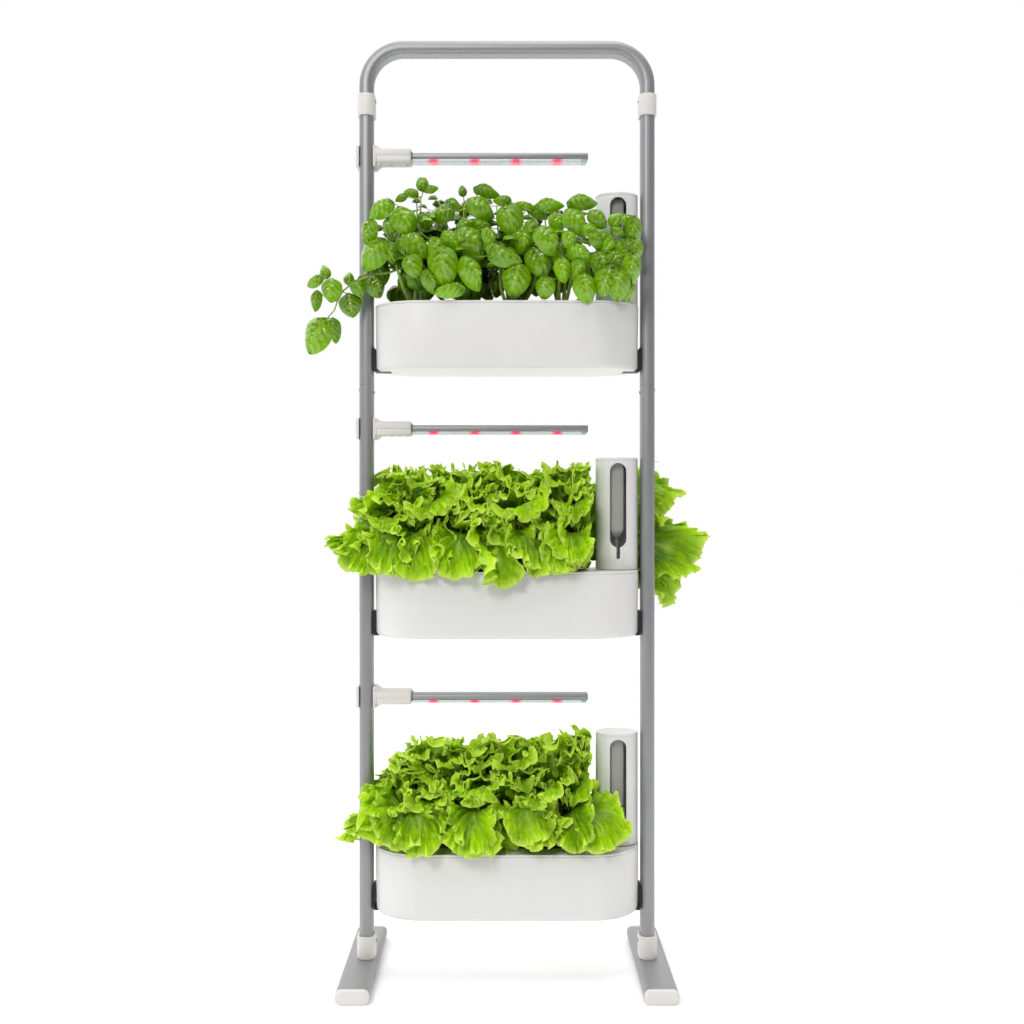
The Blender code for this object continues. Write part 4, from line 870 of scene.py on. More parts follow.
# %% Clamp, arm, bar and strip
CLAMP_INNER, CLAMP_CHEEK, CLAMP_HEIGHT, CLAMP_WRAP, CLAMP_BACK = 0.0114, 0.0055, 0.034, 0.017, 0.0254
CLAMP_ROOM = 0.0004
ARM_START, ARM_END, ARM_HEIGHT, ARM_DEPTH, ARM_EDGE = 0.0169, 0.0734, 0.023, 0.038, 0.004
GUSSET_LENGTH, GUSSET_HALF_DEPTH, GUSSET_INSET = 0.009, 0.015, 0.0008
BAR_START, BAR_END, BAR_DEPTH, BAR_HEIGHT, BAR_WALL = 0.0534, 0.3574, 0.030, 0.0113, 0.0015
BAR_CORNER, BAR_END_ROUND, RING_CORNER = 0.0050, 0.0008, 0.0025
SEAT_HALF_DEPTH, SEAT_HALF_HEIGHT, SEAT_START, PAST_ARM = 0.0153, 0.00595, BAR_START - FIT_GAP, ARM_END + PAST
STRIP_INSET, STRIP_PROUD, STRIP_HEIGHT = 0.0018, 0.0035, 0.0055
# A cutter that has to clear the whole clamp reaches this far
FAR = 0.04
LAMPS = {tier: sum(corner.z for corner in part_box(f"lamp_clamp_{tier}")) / 2 for tier in TIERS}


def gusset(side):
    cheek, top = CLAMP_INNER + CLAMP_CHEEK / 2, side * (CLAMP_HEIGHT / 2 - GUSSET_INSET)
    reach = ARM_START + GUSSET_LENGTH
    outline = [
        (cheek, 0), (reach, 0), (reach, side * (ARM_HEIGHT / 2 - 0.001)),
        (ARM_START + GUSSET_INSET, top), (cheek, top),
    ]
    return lay_down(prism("gusset", outline, -GUSSET_HALF_DEPTH, GUSSET_HALF_DEPTH))


def arm_block(start):
    half_depth, half = ARM_DEPTH / 2, ARM_HEIGHT / 2
    return soft_edges(box("arm", (start, -half_depth, -half), (ARM_END, half_depth, half)), ARM_EDGE, 5)


def clamp_model():
    outer, half = -CLAMP_INNER - CLAMP_CHEEK, CLAMP_HEIGHT / 2
    shape = rounded(ARM_START - outer, CLAMP_BACK + CLAMP_WRAP, 0.004)
    made = prism("clamp", shape, -half, half)
    soft_edges(moved(made, Matrix.Translation((0, (CLAMP_BACK - CLAMP_WRAP) / 2, 0))), 0.0015, 4, 60)
    combined(made, arm_block(CLAMP_INNER + CLAMP_CHEEK / 2), "UNION")
    combined(made, gusset(1), "UNION")
    cut_box(made, (ARM_START - FIT_GAP, -FAR, -FAR), (PAST_ARM, FAR, 0.0))
    cut_box(made, (SEAT_START, -SEAT_HALF_DEPTH, -PAST), (PAST_ARM, SEAT_HALF_DEPTH, SEAT_HALF_HEIGHT))
    combined(made, prism("room", grown(POST_SECTION, CLAMP_ROOM), -FAR, FAR))
    cut_box(made, (-CLAMP_INNER, -0.03, -FAR), (CLAMP_INNER, 0, FAR))
    return soft_edges(made, 0.0004, 2, 50)


def cover_model():
    made = arm_block(ARM_START - ARM_EDGE)
    combined(made, gusset(-1), "UNION")
    cut_box(made, (0, -FAR, -FAR), (ARM_START + FIT_GAP, FAR, FAR))
    cut_box(made, (0, -FAR, -FIT_GAP), (PAST_ARM, FAR, FAR))
    cut_box(made, (SEAT_START, -SEAT_HALF_DEPTH, -SEAT_HALF_HEIGHT), (PAST_ARM, SEAT_HALF_DEPTH, PAST))
    return soft_edges(made, 0.0004, 2, 50)


def bar_model():
    section, half_depth, half = (BAR_HEIGHT, BAR_DEPTH, BAR_CORNER), BAR_DEPTH / 2, BAR_HEIGHT / 2
    rings = []
    for at, way in ((BAR_START, -1), (BAR_END, 1)):
        ends = [(at - way * BAR_END_ROUND * drawn, BAR_END_ROUND * rise) for drawn, rise in quarter_round(3)]
        rings += [
            ring_at(grown(section, -inset, 10), along)
            for along, inset in (ends if way > 0 else reversed(ends))
        ]
    made = moved(loft("bar", rings), Matrix.Rotation(math.pi / 2, 4, "Y"))
    cut_box(
        made, (BAR_START + BAR_WALL, -half_depth + BAR_WALL, -half - PAST),
        (BAR_END - BAR_WALL, half_depth - BAR_WALL, half - BAR_WALL)
    )
    return soft_edges(made, 0.0003, 2, 60)


def strip_model():
    half, base = BAR_DEPTH / 2 - STRIP_INSET, -BAR_HEIGHT / 2 - STRIP_PROUD
    made = box("strip", (ARM_END + FIT_GAP, -half, base), (BAR_END - STRIP_INSET, half, base + STRIP_HEIGHT))
    return soft_edges(made, 0.0015, 4)


def entry_ring():
    """A dark gasket round the bar at the arm's mouth, 0.7 mm proud of the bar."""
    section = (BAR_HEIGHT, BAR_DEPTH, RING_CORNER)
    rings = [
        ring_at(grown(section, by, 5), at)
        for by, at in ((0.0001, 0), (0.0007, 0.0002), (0.0007, 0.0010), (0.0001, 0.0012))
    ]
    lying = Matrix.Rotation(math.pi / 2, 4, "Y")
    return moved(loft("ring", rings), Matrix.Translation((ARM_END, 0, 0)) @ lying)


lamp_pieces = (
    (clamp_model(), "moulded_clamp", NYLON, "nylon", "lamp_clamp"),
    (cover_model(), "moulded_arm_half", NYLON, "nylon", "lamp_arm_cover"),
    (bar_model(), "extruded_bar", ALUMINIUM, "bar", "lamp_housing"),
    (strip_model(), "clear_strip", STRIP, "diffuser", "lamp_diffuser"),
)
for tier, height in LAMPS.items():
    for model, name, finish, slot, node in lamp_pieces:
        piece = placed(model, (-POST_X, 0, height))
        finished(piece, f"{name}_{tier}", finish, f"lamp_{tier}", slot, f"{node}_{tier}")
    repaint(frame["nodes"][f"led_board_{tier}"], BOARD)
spent(*(model for model, *_ in lamp_pieces))
print("lamps at", {tier: round(height, 4) for tier, height in LAMPS.items()})

# %% [markdown]
# ## Screws and lights
#
# Small things that repeat are set on points by a Geometry Nodes tree: each point carries the turn and
# size of its copy. The screws are pan heads with a cross recess. They hold the sleeves and sockets on the
# posts, the joint between the lower and upper post, and the two halves of each lamp arm.

# %% A tree that sets copies on points


def scatter_tree(name, models):
    """Copies of models on points: attributes turn, size and model say which, how large and how turned."""
    tree, given, out = new_tree(name, {"Material": "NodeSocketMaterial"})
    gathered = add_node(tree, "GeometryNodeJoinGeometry")
    # The last one joined comes first, so the models are joined from the last to the first
    for model in reversed(models):
        shown = add_node(tree, "GeometryNodeObjectInfo", None, {"Object": model, "As Instance": True})
        tree.links.new(shown.outputs["Geometry"], gathered.inputs["Geometry"])
    turn, size, which = (
        add_node(
            tree, "GeometryNodeInputNamedAttribute", {"data_type": kind}, {"Name": attribute}
        ).outputs["Attribute"]
        for attribute, kind in (("turn", "FLOAT_VECTOR"), ("size", "FLOAT_VECTOR"), ("model", "INT"))
    )
    turned_by = add_node(tree, "FunctionNodeEulerToRotation", None, {"Euler": turn})
    copies = add_node(tree, "GeometryNodeInstanceOnPoints", None, {
        "Points": given.outputs["Geometry"], "Instance": gathered.outputs["Geometry"], "Pick Instance": True,
        "Instance Index": which, "Rotation": turned_by.outputs["Rotation"], "Scale": size,
    })
    return close_tree(tree, given, out, copies.outputs["Instances"])


def store(mesh, attribute, values, kind="FLOAT", field="value"):
    """Keeps a value for each point of a mesh, under a name that a tree or a material reads."""
    mesh.attributes.new(attribute, kind, "POINT").data.foreach_set(field, values)


def scattered(name, places, tree, finish, tones=None):
    """One mesh of copies from places of (point, turn, size, model)."""
    points, turns, sizes, models = zip(*places)
    mesh = bpy.data.meshes.new(name)
    mesh.from_pydata([tuple(point) for point in points], [], [])
    store(mesh, "turn", np.array([list(turn) for turn in turns]).ravel(), "FLOAT_VECTOR", "vector")
    store(mesh, "size", np.array([list(size) for size in sizes]).ravel(), "FLOAT_VECTOR", "vector")
    store(mesh, "model", np.array(models), "INT")
    # This attribute adds to a copy's colour: for the basil, painted shade by depth and a random tone; zero
    # where none is given
    store(mesh, "tone", np.array(tones if tones else [0.0] * len(places)))
    return grow(new_object(name, mesh), tree, {"Material": finish})


# %% Screws
SCREW_RADIUS, SCREW_HEAD = 0.0026, 0.0013
ONE = (1.0, 1.0, 1.0)


def screw_head():
    profile = [(0.0, SCREW_HEAD), (0.0012, 0.95 * SCREW_HEAD), (0.0021, 0.72 * SCREW_HEAD)]
    profile += [(SCREW_RADIUS, 0.30 * SCREW_HEAD), (SCREW_RADIUS, -0.0004), (0.0, -0.0004)]
    made = turned("screw", profile, 28)
    for length, width in ((0.0028, 0.0006), (0.0006, 0.0028)):
        combined(made, box("slot", (-length / 2, -width / 2, 0.0006), (length / 2, width / 2, 0.003)))
    return made


def facing(direction):
    return Vector(direction).to_track_quat("Z", "Y").to_euler()


SLEEVE_SCREW_Z, SOCKET_SCREW_Z, JOINT_SCREW_Z, ARM_SCREW_XS = 1.405, 0.047, 0.936, (-0.1868, -0.1612)
SLEEVE_WALL, SOCKET_WALL = 0.0141, 0.0146
head_model = screw_head()
SCREW_TREE = scatter_tree("screws_on_points", [head_model])
screws = []
for side in (-1, 1):
    screws.append(((side * (POST_X - SLEEVE_WALL), 0, SLEEVE_SCREW_Z), facing((-side, 0, 0)), ONE, 0))
    for way in (-1, 1):
        screws.append(((side * POST_X + way * SOCKET_WALL, 0, SOCKET_SCREW_Z), facing((way, 0, 0)), ONE, 0))
        at = side * POST_X + way * POST_WIDTH / 2
        screws.append(((at, 0, JOINT_SCREW_Z + 0.002 * way * side), facing((way, 0, 0)), (1.2, 1.2, 1.5), 0))
finished(scattered("frame_screws", screws, SCREW_TREE, SCREW_STEEL), "frame_screws", None, "garden", "steel")
for tier, height in LAMPS.items():
    under = [
        ((x, 0, height - ARM_HEIGHT / 2), facing((0, 0, -1)), (0.85, 0.85, 0.6), 0) for x in ARM_SCREW_XS
    ]
    made = scattered("arm_screws", under, SCREW_TREE, SCREW_STEEL)
    finished(made, f"arm_screws_{tier}", None, f"lamp_{tier}", "steel")
    ring = moved(entry_ring(), Matrix.Translation((-POST_X, 0, height)))
    finished(ring, f"entry_ring_{tier}", BLACK_PLASTIC, f"lamp_{tier}", "black")
spent(head_model)
print(len(screws), "screws on the frame")

# %% [markdown]
# The light chips sit on the underside of the board, two rows of white ones and a row of four large red
# ones, and they shine through the strip. One tree lays them out along a line from named inputs.

# %% Light chips


def chip_row_tree():
    tree, given, out = new_tree("chips_along_board", {
        "Count": "NodeSocketInt", "Start": "NodeSocketVector", "Pitch": "NodeSocketVector",
        "Size": "NodeSocketVector", "Material": "NodeSocketMaterial",
    })
    line = add_node(tree, "GeometryNodeMeshLine", None, {
        "Count": given.outputs["Count"], "Start Location": given.outputs["Start"],
        "Offset": given.outputs["Pitch"],
    })
    chip = add_node(tree, "GeometryNodeMeshCube", None, {"Size": given.outputs["Size"]})
    chips = add_node(tree, "GeometryNodeInstanceOnPoints", None, {
        "Points": line.outputs["Mesh"], "Instance": chip.outputs["Mesh"],
    })
    return close_tree(tree, given, out, chips.outputs["Instances"])


CHIP_ROWS = chip_row_tree()
WHITE_COUNT, WHITE_PITCH, WHITE_SIZE = 28, 0.0095, (0.0035, 0.0028)
FIRST_WHITE_X, WHITE_ROW_Y = -0.1380, 0.0065
RED_COUNT, RED_SIZE, CHIP_HEIGHT = 4, (0.0050, 0.0050), 0.0008
for tier in TIERS:
    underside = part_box(f"led_board_{tier}")[0].z - CHIP_HEIGHT / 2
    for name, count, x, y, pitch, size, finish in (
        ("white_front", WHITE_COUNT, FIRST_WHITE_X, -WHITE_ROW_Y, WHITE_PITCH, WHITE_SIZE, WHITE_CHIP),
        ("white_back", WHITE_COUNT, FIRST_WHITE_X, WHITE_ROW_Y, WHITE_PITCH, WHITE_SIZE, WHITE_CHIP),
        ("red", RED_COUNT, FIRST_RED_LIGHT_X, 0, RED_LIGHT_PITCH, RED_SIZE, RED_CHIP),
    ):
        made = grow(new_object(name, bpy.data.meshes.new(name)), CHIP_ROWS, {
            "Count": count, "Start": (x, y, underside), "Pitch": (pitch, 0, 0), "Size": (*size, CHIP_HEIGHT),
            "Material": finish,
        })
        finished(made, f"chips_{name}_{tier}", None, f"lamp_{tier}", "board")
print("chips on each board", 2 * WHITE_COUNT + RED_COUNT, [round(v, 4) for v in made.dimensions])

# %% [markdown]
# ## Plants
#
# A lettuce leaf is a flat fan whose margin has grown longer than its middle has room for, so it
# ruffles. That is a rule, and it can be written down: lay out a flat leaf as a fan of lines from a
# point on its midrib, lift it by waves that run along the margin and grow towards it, and bend the
# whole along a curve. The inner part of the leaf is calm, so it gets few lines, and the margin many.

# %% Leaf finishes


def leaf_material(name, base, tip, vein, values, patchy=0.4):
    made, tree, shader = material(name, {
        "Base Color": linear(base), "IOR": 1.42, "Subsurface Weight": 0.25,
        "Subsurface Radius": (1.0, 1.0, 0.25), "Subsurface Scale": 0.002, **values,
    })
    place, patches, tones = mottled(tree, shader, base, tip, 0.020)
    # The colour runs from base to tip by the shade attribute, which holds painted highlight and painted shade,
    # by random patches, and by each basil leaf's painted shade and tone
    shade = add_node(tree, "ShaderNodeAttribute", {"attribute_name": "shade"})
    ribs = add_node(tree, "ShaderNodeAttribute", {"attribute_name": "vein"})
    mixed = add_node(tree, "ShaderNodeMath", {"operation": "MULTIPLY_ADD"}, {
        0: patches.outputs["Fac"], 1: patchy, 2: shade.outputs["Fac"],
    })
    # Per leaf, painted shade by depth and a random tone, from the basil's points
    leaf_shade_and_tone = add_node(tree, "ShaderNodeAttribute", {"attribute_name": "tone"})
    shaded_and_toned = add_node(tree, "ShaderNodeMath", {"operation": "ADD", "use_clamp": True}, {
        0: mixed.outputs["Value"], 1: leaf_shade_and_tone.outputs["Fac"],
    })
    tree.links.new(shaded_and_toned.outputs["Value"], tones.inputs["Factor"])
    veined = blend(tree, ribs.outputs["Fac"], tones.outputs["Result"], vein)
    tree.links.new(veined.outputs["Result"], shader.inputs["Base Color"])
    grained(tree, shader, place, 0.0032, 0.0006)
    return made


# For lettuce and basil the first colour stands for the leaf in deep painted shade, the second for it in
# painted highlight; the third is the veins', and on lettuce also the painted highlight of its margin
LETTUCE = leaf_material("lettuce_leaf", "#2a6400", "#baec0c", "#dcf26c", {
    "Roughness": 0.34, "Specular IOR Level": 0.26,
})
BASIL = leaf_material("basil_leaf", "#0c3000", "#9ad808", "#c0e050", {
    "Roughness": 0.30, "Specular IOR Level": 0.20, "Coat Weight": 0.80, "Coat Roughness": 0.14,
}, 0.15)
STEM = leaf_material("green_stem", "#8cb038", "#b4d068", "#c4d88c", {"Roughness": 0.45})
SPONGE = moulded_plastic("root_sponge", "#2b2a24", "#3b3930", 0.9, 0.0030, 0.0004)

# %% A ruffled leaf
TAU = 2 * math.pi
UP = np.array([0.0, 0.0, 1.0])
# Number of lobes round a leaf and how deep they are
LOBES = ((4, 0.06), (7, 0.08), (13, 0.10), (22, 0.09), (36, 0.05))
# Height and lean of the large, middle and fine ruffles
RUFFLE_LIFT, RUFFLE_LEAN = (0.0120, 0.0092, 0.0062), (0.0050, 0.0052, 0.0034)
VEIN_SPACING, VEIN_RELIEF, BLISTER_HEIGHT = 0.015, 0.0007, 0.0036
LEAF_CENTRE, LARGE_LEAF_WIDTH, LEAF_THICKNESS = 0.58, 0.082, 0.0006


def bezier(points, t):
    a, b, c, d = (np.array(p, float)[None, :] for p in points)
    t = np.asarray(t, float)[:, None]
    return (1 - t) ** 3 * a + 3 * (1 - t) ** 2 * t * b + 3 * (1 - t) * t ** 2 * c + t ** 3 * d


def bezier_direction(points, t):
    a, b, c, d = (np.array(p, float)[None, :] for p in points)
    t = np.asarray(t, float)[:, None]
    return unit(3 * (1 - t) ** 2 * (b - a) + 6 * (1 - t) * t * (c - b) + 3 * t ** 2 * (d - c))


def unit(rows):
    return rows / np.maximum(np.linalg.norm(rows, axis=-1, keepdims=True), 1e-9)


def fan_grid(*bands):
    """A fan in bands of (lines, rows, outer share): angle and share of each point, and the faces."""
    angles, shares, faces, rows, inner = [0.0], [0.0], [], [], 0.0
    for steps, count, outer in bands:
        rows += [(steps, inner + (outer - inner) * (row + 1) / count) for row in range(count)]
        inner = outer
    starts = []
    for steps, share in rows:
        starts.append(len(angles))
        angles += [TAU * i / steps for i in range(steps)]
        shares += [share] * steps
    faces += [(0, starts[0] + i, starts[0] + (i + 1) % rows[0][0]) for i in range(rows[0][0])]
    for (steps, _), (next_steps, _), first, second in zip(rows, rows[1:], starts, starts[1:]):
        ratio = next_steps // steps
        for i in range(steps):
            a, b = first + i, first + (i + 1) % steps
            ring = [second + (i * ratio + k) % next_steps for k in range(ratio + 1)]
            if ratio == 1:
                faces.append((a, ring[0], ring[1], b))
            else:
                half = ratio // 2
                faces += [(a, ring[k], ring[k + 1]) for k in range(half)]
                faces.append((a, ring[half], b))
                faces += [(b, ring[k], ring[k + 1]) for k in range(half, ratio)]
    return np.array(angles), np.array(shares), faces


LARGE_LEAF = fan_grid((36, 3, 0.46), (108, 2, 0.72), (216, 4, 1.0))
SMALL_LEAF = fan_grid((24, 2, 0.42), (72, 2, 0.70), (144, 4, 1.0))


def wave(random, count, angle, warp):
    """A wave of that many crests along the margin, and the one a quarter behind it."""
    phase = count * angle + warp + random.uniform(0, TAU)
    return np.sin(phase), np.cos(phase)


def flat_blade(length, width, power, angle, share, random):
    """How far along and across the blade each point lies, with lobes round its margin."""
    forward, sideways = np.cos(angle), np.sin(angle)
    reach_along = np.where(forward >= 0, (1 - LEAF_CENTRE) * length, LEAF_CENTRE * length)
    round_out = np.abs(forward / reach_along) ** power + np.abs(sideways / (width / 2)) ** power
    tip_share = np.clip(forward + 0.9, 0, 1) * (1 - 0.65 * np.clip((forward - 0.75) / 0.20, 0, 1))
    # Rounded lobes with sharp notches between them, as the folded sine draws them
    lobes = sum(
        weight * (np.abs(np.sin(count / 2 * angle + random.uniform(0, TAU))) - 0.64)
        for count, weight in LOBES
    )
    radius = round_out ** (-1 / power) * (1 + lobes * share ** 4 * tip_share)
    along = LEAF_CENTRE * length + share * radius * forward
    neck = np.clip(along / (0.45 * length), 0, 1)
    return along, share * radius * sideways * (0.14 + 0.86 * neck ** 1.2)


def ruffles(angle, share, edge, size, large, random):
    """Waves along the margin that grow towards it: how high they stand and how far they lean."""
    warp = 0.9 * np.sin(2 * angle + random.uniform(0, TAU)) + 0.6 * np.sin(3 * angle + random.uniform(0, TAU))
    counts = ((6, 8), (15, 19), (36, 43)) if large else ((5, 7), (12, 15), (25, 30))
    (big, big_after), (mid, mid_after), (fine, fine_after) = (
        wave(random, random.integers(low, high), angle, k * warp)
        for k, (low, high) in zip((1, 1.6, 2.4), counts)
    )
    gate = 0.65 + 0.35 * np.sin(4 * angle + random.uniform(0, TAU))
    lift = edge * (
        RUFFLE_LIFT[0] * size * share ** 3 * big + RUFFLE_LIFT[1] * share ** 4.4 * mid * gate
        + RUFFLE_LIFT[2] * share ** 5 * fine
    )
    lean = edge * (
        RUFFLE_LEAN[0] * size * share ** 3 * big_after + RUFFLE_LEAN[1] * share ** 5 * mid_after
        + RUFFLE_LEAN[2] * share ** 5 * fine_after
    )
    return lift, lean


def leaf_veins(along, across, length, share, random):
    """The relief of side veins that run forward from the rib, the rib's line, and the pale tone of all veins
    and of the margin; the pale margin is painted highlight.
    """
    vein_at = (along - np.abs(across) * 1.05) / VEIN_SPACING + random.uniform(0, 1)
    off_vein = np.abs(vein_at - np.round(vein_at))
    rib_width = 0.0036 * (1 - 0.85 * np.clip(along / length, 0, 1)) + 0.0006
    rib_line = np.exp(-(across / rib_width) ** 2)
    vein = np.exp(-(off_vein / 0.10) ** 2) * np.clip(1.1 - share ** 2, 0, 1) * 0.24
    vein = np.maximum(vein, 0.8 * rib_line * np.clip(1.25 - along / length, 0, 1))
    # Painted highlight: the outer margin is paled as if light caught its edge
    vein = np.maximum(vein, 0.75 * np.clip((share - 0.84) / 0.16, 0, 1) ** 2)
    relief = VEIN_RELIEF * np.cos(TAU * vein_at) * np.clip(share * 3, 0, 1) * (1 - share ** 2)
    return relief, rib_line, vein


def blisters(along, across, share, random):
    """Bumps a centimetre or so across, crossed at random, so that no pleats run through."""
    bumps = np.ones_like(along)
    for _ in range(2):
        heading, spacing = random.uniform(0, TAU), random.uniform(0.011, 0.018)
        run = along * math.cos(heading) + across * math.sin(heading)
        bumps = bumps * np.sin(TAU * run / spacing + random.uniform(0, TAU))
    return BLISTER_HEIGHT * bumps * np.clip(share * 2, 0, 1)


def on_rib(rib, side, length, roll, along, across, lift):
    """The points of a blade carried along its bent rib, and rolled about it towards the tip."""
    at = np.clip(along / length, 0, 1)
    middle, direction = bezier(rib, at), bezier_direction(rib, at)
    middle = middle + direction * (np.maximum(along - length, 0) + np.minimum(along, 0))[:, None]
    side = unit(np.broadcast_to(np.array(side, float), direction.shape))
    side = unit(side - direction * np.sum(side * direction, axis=1, keepdims=True))
    up = np.cross(side, direction)
    turn = (roll * np.clip(2.2 * at, 0, 1))[:, None]
    side, up = side * np.cos(turn) + up * np.sin(turn), up * np.cos(turn) - side * np.sin(turn)
    return middle + side * across[:, None] + up * lift[:, None]


def lettuce_leaf(rib, side, width, random, roll=0.0, cup=0.5, power=2.5):
    """One ruffled leaf along a rib curve: points, faces, and for each point its painted light and shade, and
    its vein tone.
    """
    length = float(np.linalg.norm(np.diff(bezier(rib, np.linspace(0, 1, 24)), axis=0), axis=1).sum())
    large = width > LARGE_LEAF_WIDTH
    angle, share, faces = LARGE_LEAF if large else SMALL_LEAF
    along, across = flat_blade(length, width, power, angle, share, random)
    edge = np.clip(along / (0.5 * length), 0.05, 1)
    lift, lean = ruffles(angle, share, edge, width / 0.10, large, random)
    along, across = along - np.sin(angle) * lean, across + np.cos(angle) * lean
    relief, rib_line, vein = leaf_veins(along, across, length, share, random)
    lift = lift - relief + blisters(along, across, share, random)
    lift = lift + cup * across ** 2 / width - 0.0030 * rib_line * np.clip(1 - along / length, 0, 1)
    points = on_rib(rib, side, length, roll, along, across, lift)
    # Painted light: each point is lighter towards the margin and where the ruffles rise, as painted highlight,
    # and darker towards the middle, as painted shade; the random part is each leaf's own tone
    shade = np.clip(-0.22 + 1.0 * share ** 1.6 + random.uniform(-0.2, 0.15) + 22 * lift * share, 0, 1)
    return points, faces, shade, vein


# %% [markdown]
# Nothing grows through a post, so each leaf point that has landed inside the rack is pushed out of it
# again: out of the tower, to the front or back of a post, over the lid and below the lamp.

# %% Keeping the leaves clear of the rack
CLEAR, LID_CLEAR = 0.0025, 0.002
# A low point this near the tub's rim goes outside it, one further in goes over the lid
RIM_BAND = 0.016


def keep_clear(points, deck, ceiling, ahead=None):
    """Moves points out of tower, posts, tub and lamp by the shortest sensible way."""
    p = np.array(points, float)
    ends = np.clip(p[:, 0], -(TUB_HALF_LENGTH - TUB_HALF_DEPTH), TUB_HALF_LENGTH - TUB_HALF_DEPTH)
    out = np.stack([p[:, 0] - ends, p[:, 1]], axis=1)
    distance = np.linalg.norm(out, axis=1)
    limit = TUB_HALF_DEPTH + CLEAR
    low = (p[:, 2] < deck + LID_CLEAR) & (distance < limit)
    near_rim = low & (distance > limit - RIM_BAND)
    push = unit(out) * limit
    p[near_rim, 0] = (ends + push[:, 0])[near_rim]
    p[near_rim, 1] = push[near_rim, 1]
    deep = low & ~near_rim
    p[deep, 2] = deck + LID_CLEAR
    dx, dy = p[:, 0] - TOWER_X, p[:, 1]
    distance = np.hypot(dx, dy)
    inside = (distance < TOWER_RADIUS + CLEAR) & (p[:, 2] > deck - 0.01)
    outwards = (TOWER_RADIUS + CLEAR) / np.maximum(distance, 1e-4)
    if ahead is None:
        p[inside, 0] = (TOWER_X + dx * outwards)[inside]
        p[inside, 1] = (dy * outwards)[inside]
    else:
        p[inside, 1] = ahead * np.sqrt(np.maximum((TOWER_RADIUS + CLEAR) ** 2 - dx ** 2, 0))[inside]
    for side in (-1, 1):
        dx = p[:, 0] - side * POST_X
        inside = (np.abs(dx) < POST_WIDTH / 2 + CLEAR) & (np.abs(p[:, 1]) < POST_DEPTH / 2 + CLEAR)
        way = np.where(p[:, 1] < 0, -1, 1) if ahead is None else ahead
        p[:, 1] = np.where(inside, way * (POST_DEPTH / 2 + CLEAR), p[:, 1])
    p[:, 2] = np.minimum(p[:, 2], ceiling)
    return p


# The outline of the foliage from above in the picture, as columns and rows
SKYLINES = {
    "middle": (
        (330, 535), (342, 505), (356, 494), (375, 474), (392, 464), (412, 466), (434, 464), (460, 462),
        (482, 458), (510, 463), (530, 475), (545, 456), (570, 454), (595, 463), (640, 463),
    ),
    "low": (
        (350, 815), (362, 785), (380, 765), (394, 754), (412, 734), (452, 737), (492, 732), (532, 737),
        (552, 731), (576, 719), (592, 727), (640, 727),
    ),
    "top": (
        (350, 262), (362, 212), (372, 203), (385, 197), (396, 199), (410, 186), (424, 179), (437, 186),
        (450, 192), (464, 190), (478, 187), (496, 190), (506, 203), (530, 202), (548, 199), (562, 206),
        (578, 195), (592, 196), (603, 212), (628, 214), (640, 240),
    ),
}


def skyline(tier, x, y):
    """Height of the foliage's outline over a place, as the camera sees it, or the room under the lamp."""
    columns, rows = zip(*SKYLINES[tier])
    scale = metres_per_pixel(y)
    row = np.interp(CENTRE_PIXEL[0] + x / scale, columns, rows)
    return np.minimum(CAMERA_HEIGHT - (row - CENTRE_PIXEL[1]) * scale, CEILINGS[tier] - 0.001)


def fitted(points, tier, foot, right_end):
    """A leaf lowered and narrowed as a whole until it stays under the skyline and short of the tower."""
    deck = TIERS[tier]
    p = np.array(points, float)
    over = (p[:, 2] - deck) / np.maximum(skyline(tier, p[:, 0], p[:, 1]) - deck, 0.02)
    if over.max() > 1:
        p[:, 2] = np.where(p[:, 2] > deck, deck + (p[:, 2] - deck) / over.max(), p[:, 2])
    if p[:, 0].max() > right_end > foot:
        squeeze = (right_end - foot) / (p[:, 0].max() - foot)
        p[:, 0] = np.where(p[:, 0] > foot, foot + (p[:, 0] - foot) * squeeze, p[:, 0])
    return p


def depth_shade(points, tier, foot):
    """Less light for what lies deep in a head: near its axis and low down."""
    sideways = np.hypot(points[:, 0] - foot, points[:, 1]) / 0.085
    height = np.clip((points[:, 2] - TIERS[tier]) / 0.16, 0, 1)
    return 0.15 + 0.85 * np.clip(sideways ** 2 + height ** 2.5, 0, 1)


def leaves_object(name, leaves, finish):
    """One mesh from many leaves, with the shade and vein of each point as attributes."""
    points, faces, shade, vein, count = [], [], [], [], 0
    for leaf_points, leaf_faces, leaf_shade, leaf_vein in leaves:
        points.append(leaf_points)
        faces += [tuple(count + i for i in face) for face in leaf_faces]
        shade.append(leaf_shade)
        vein.append(leaf_vein)
        count += len(leaf_points)
    mesh = bpy.data.meshes.new(name)
    mesh.from_pydata(np.concatenate(points).tolist(), [], faces)
    for attribute, values in (("shade", shade), ("vein", vein)):
        store(mesh, attribute, np.concatenate(values).astype(np.float32))
    mesh.materials.append(finish)
    return thickened(new_object(name, mesh), LEAF_THICKNESS)


# %% [markdown]
# Four heads of lettuce stand in each of the two lower planters. A head is a rosette: each next leaf is
# turned by the golden angle, the outer leaves arch down over the rim and the inner ones stand up. The
# leaves that make the outline of the picture, such as those past the posts, are set by pixel.

# %% Heads of lettuce
CUP_XS = (-0.1493, -0.0700, 0.0093, 0.0886)
GOLDEN_ANGLE = math.radians(137.508)
PLUG_BASE, PLUG_TOP = -0.0440, -0.0140
# Rings of a head: number of leaves, reach and height of the tips, height of the arch, width
RINGS = (
    (7, 0.098, 0.008, 0.066, 0.086),
    (6, 0.086, 0.070, 0.048, 0.080),
    (6, 0.064, 0.138, 0.034, 0.074),
    (6, 0.038, 0.184, 0.020, 0.066),
)
TOWER_LEFT, TOWER_PIXEL = TOWER_X - TOWER_RADIUS - 0.007, 594
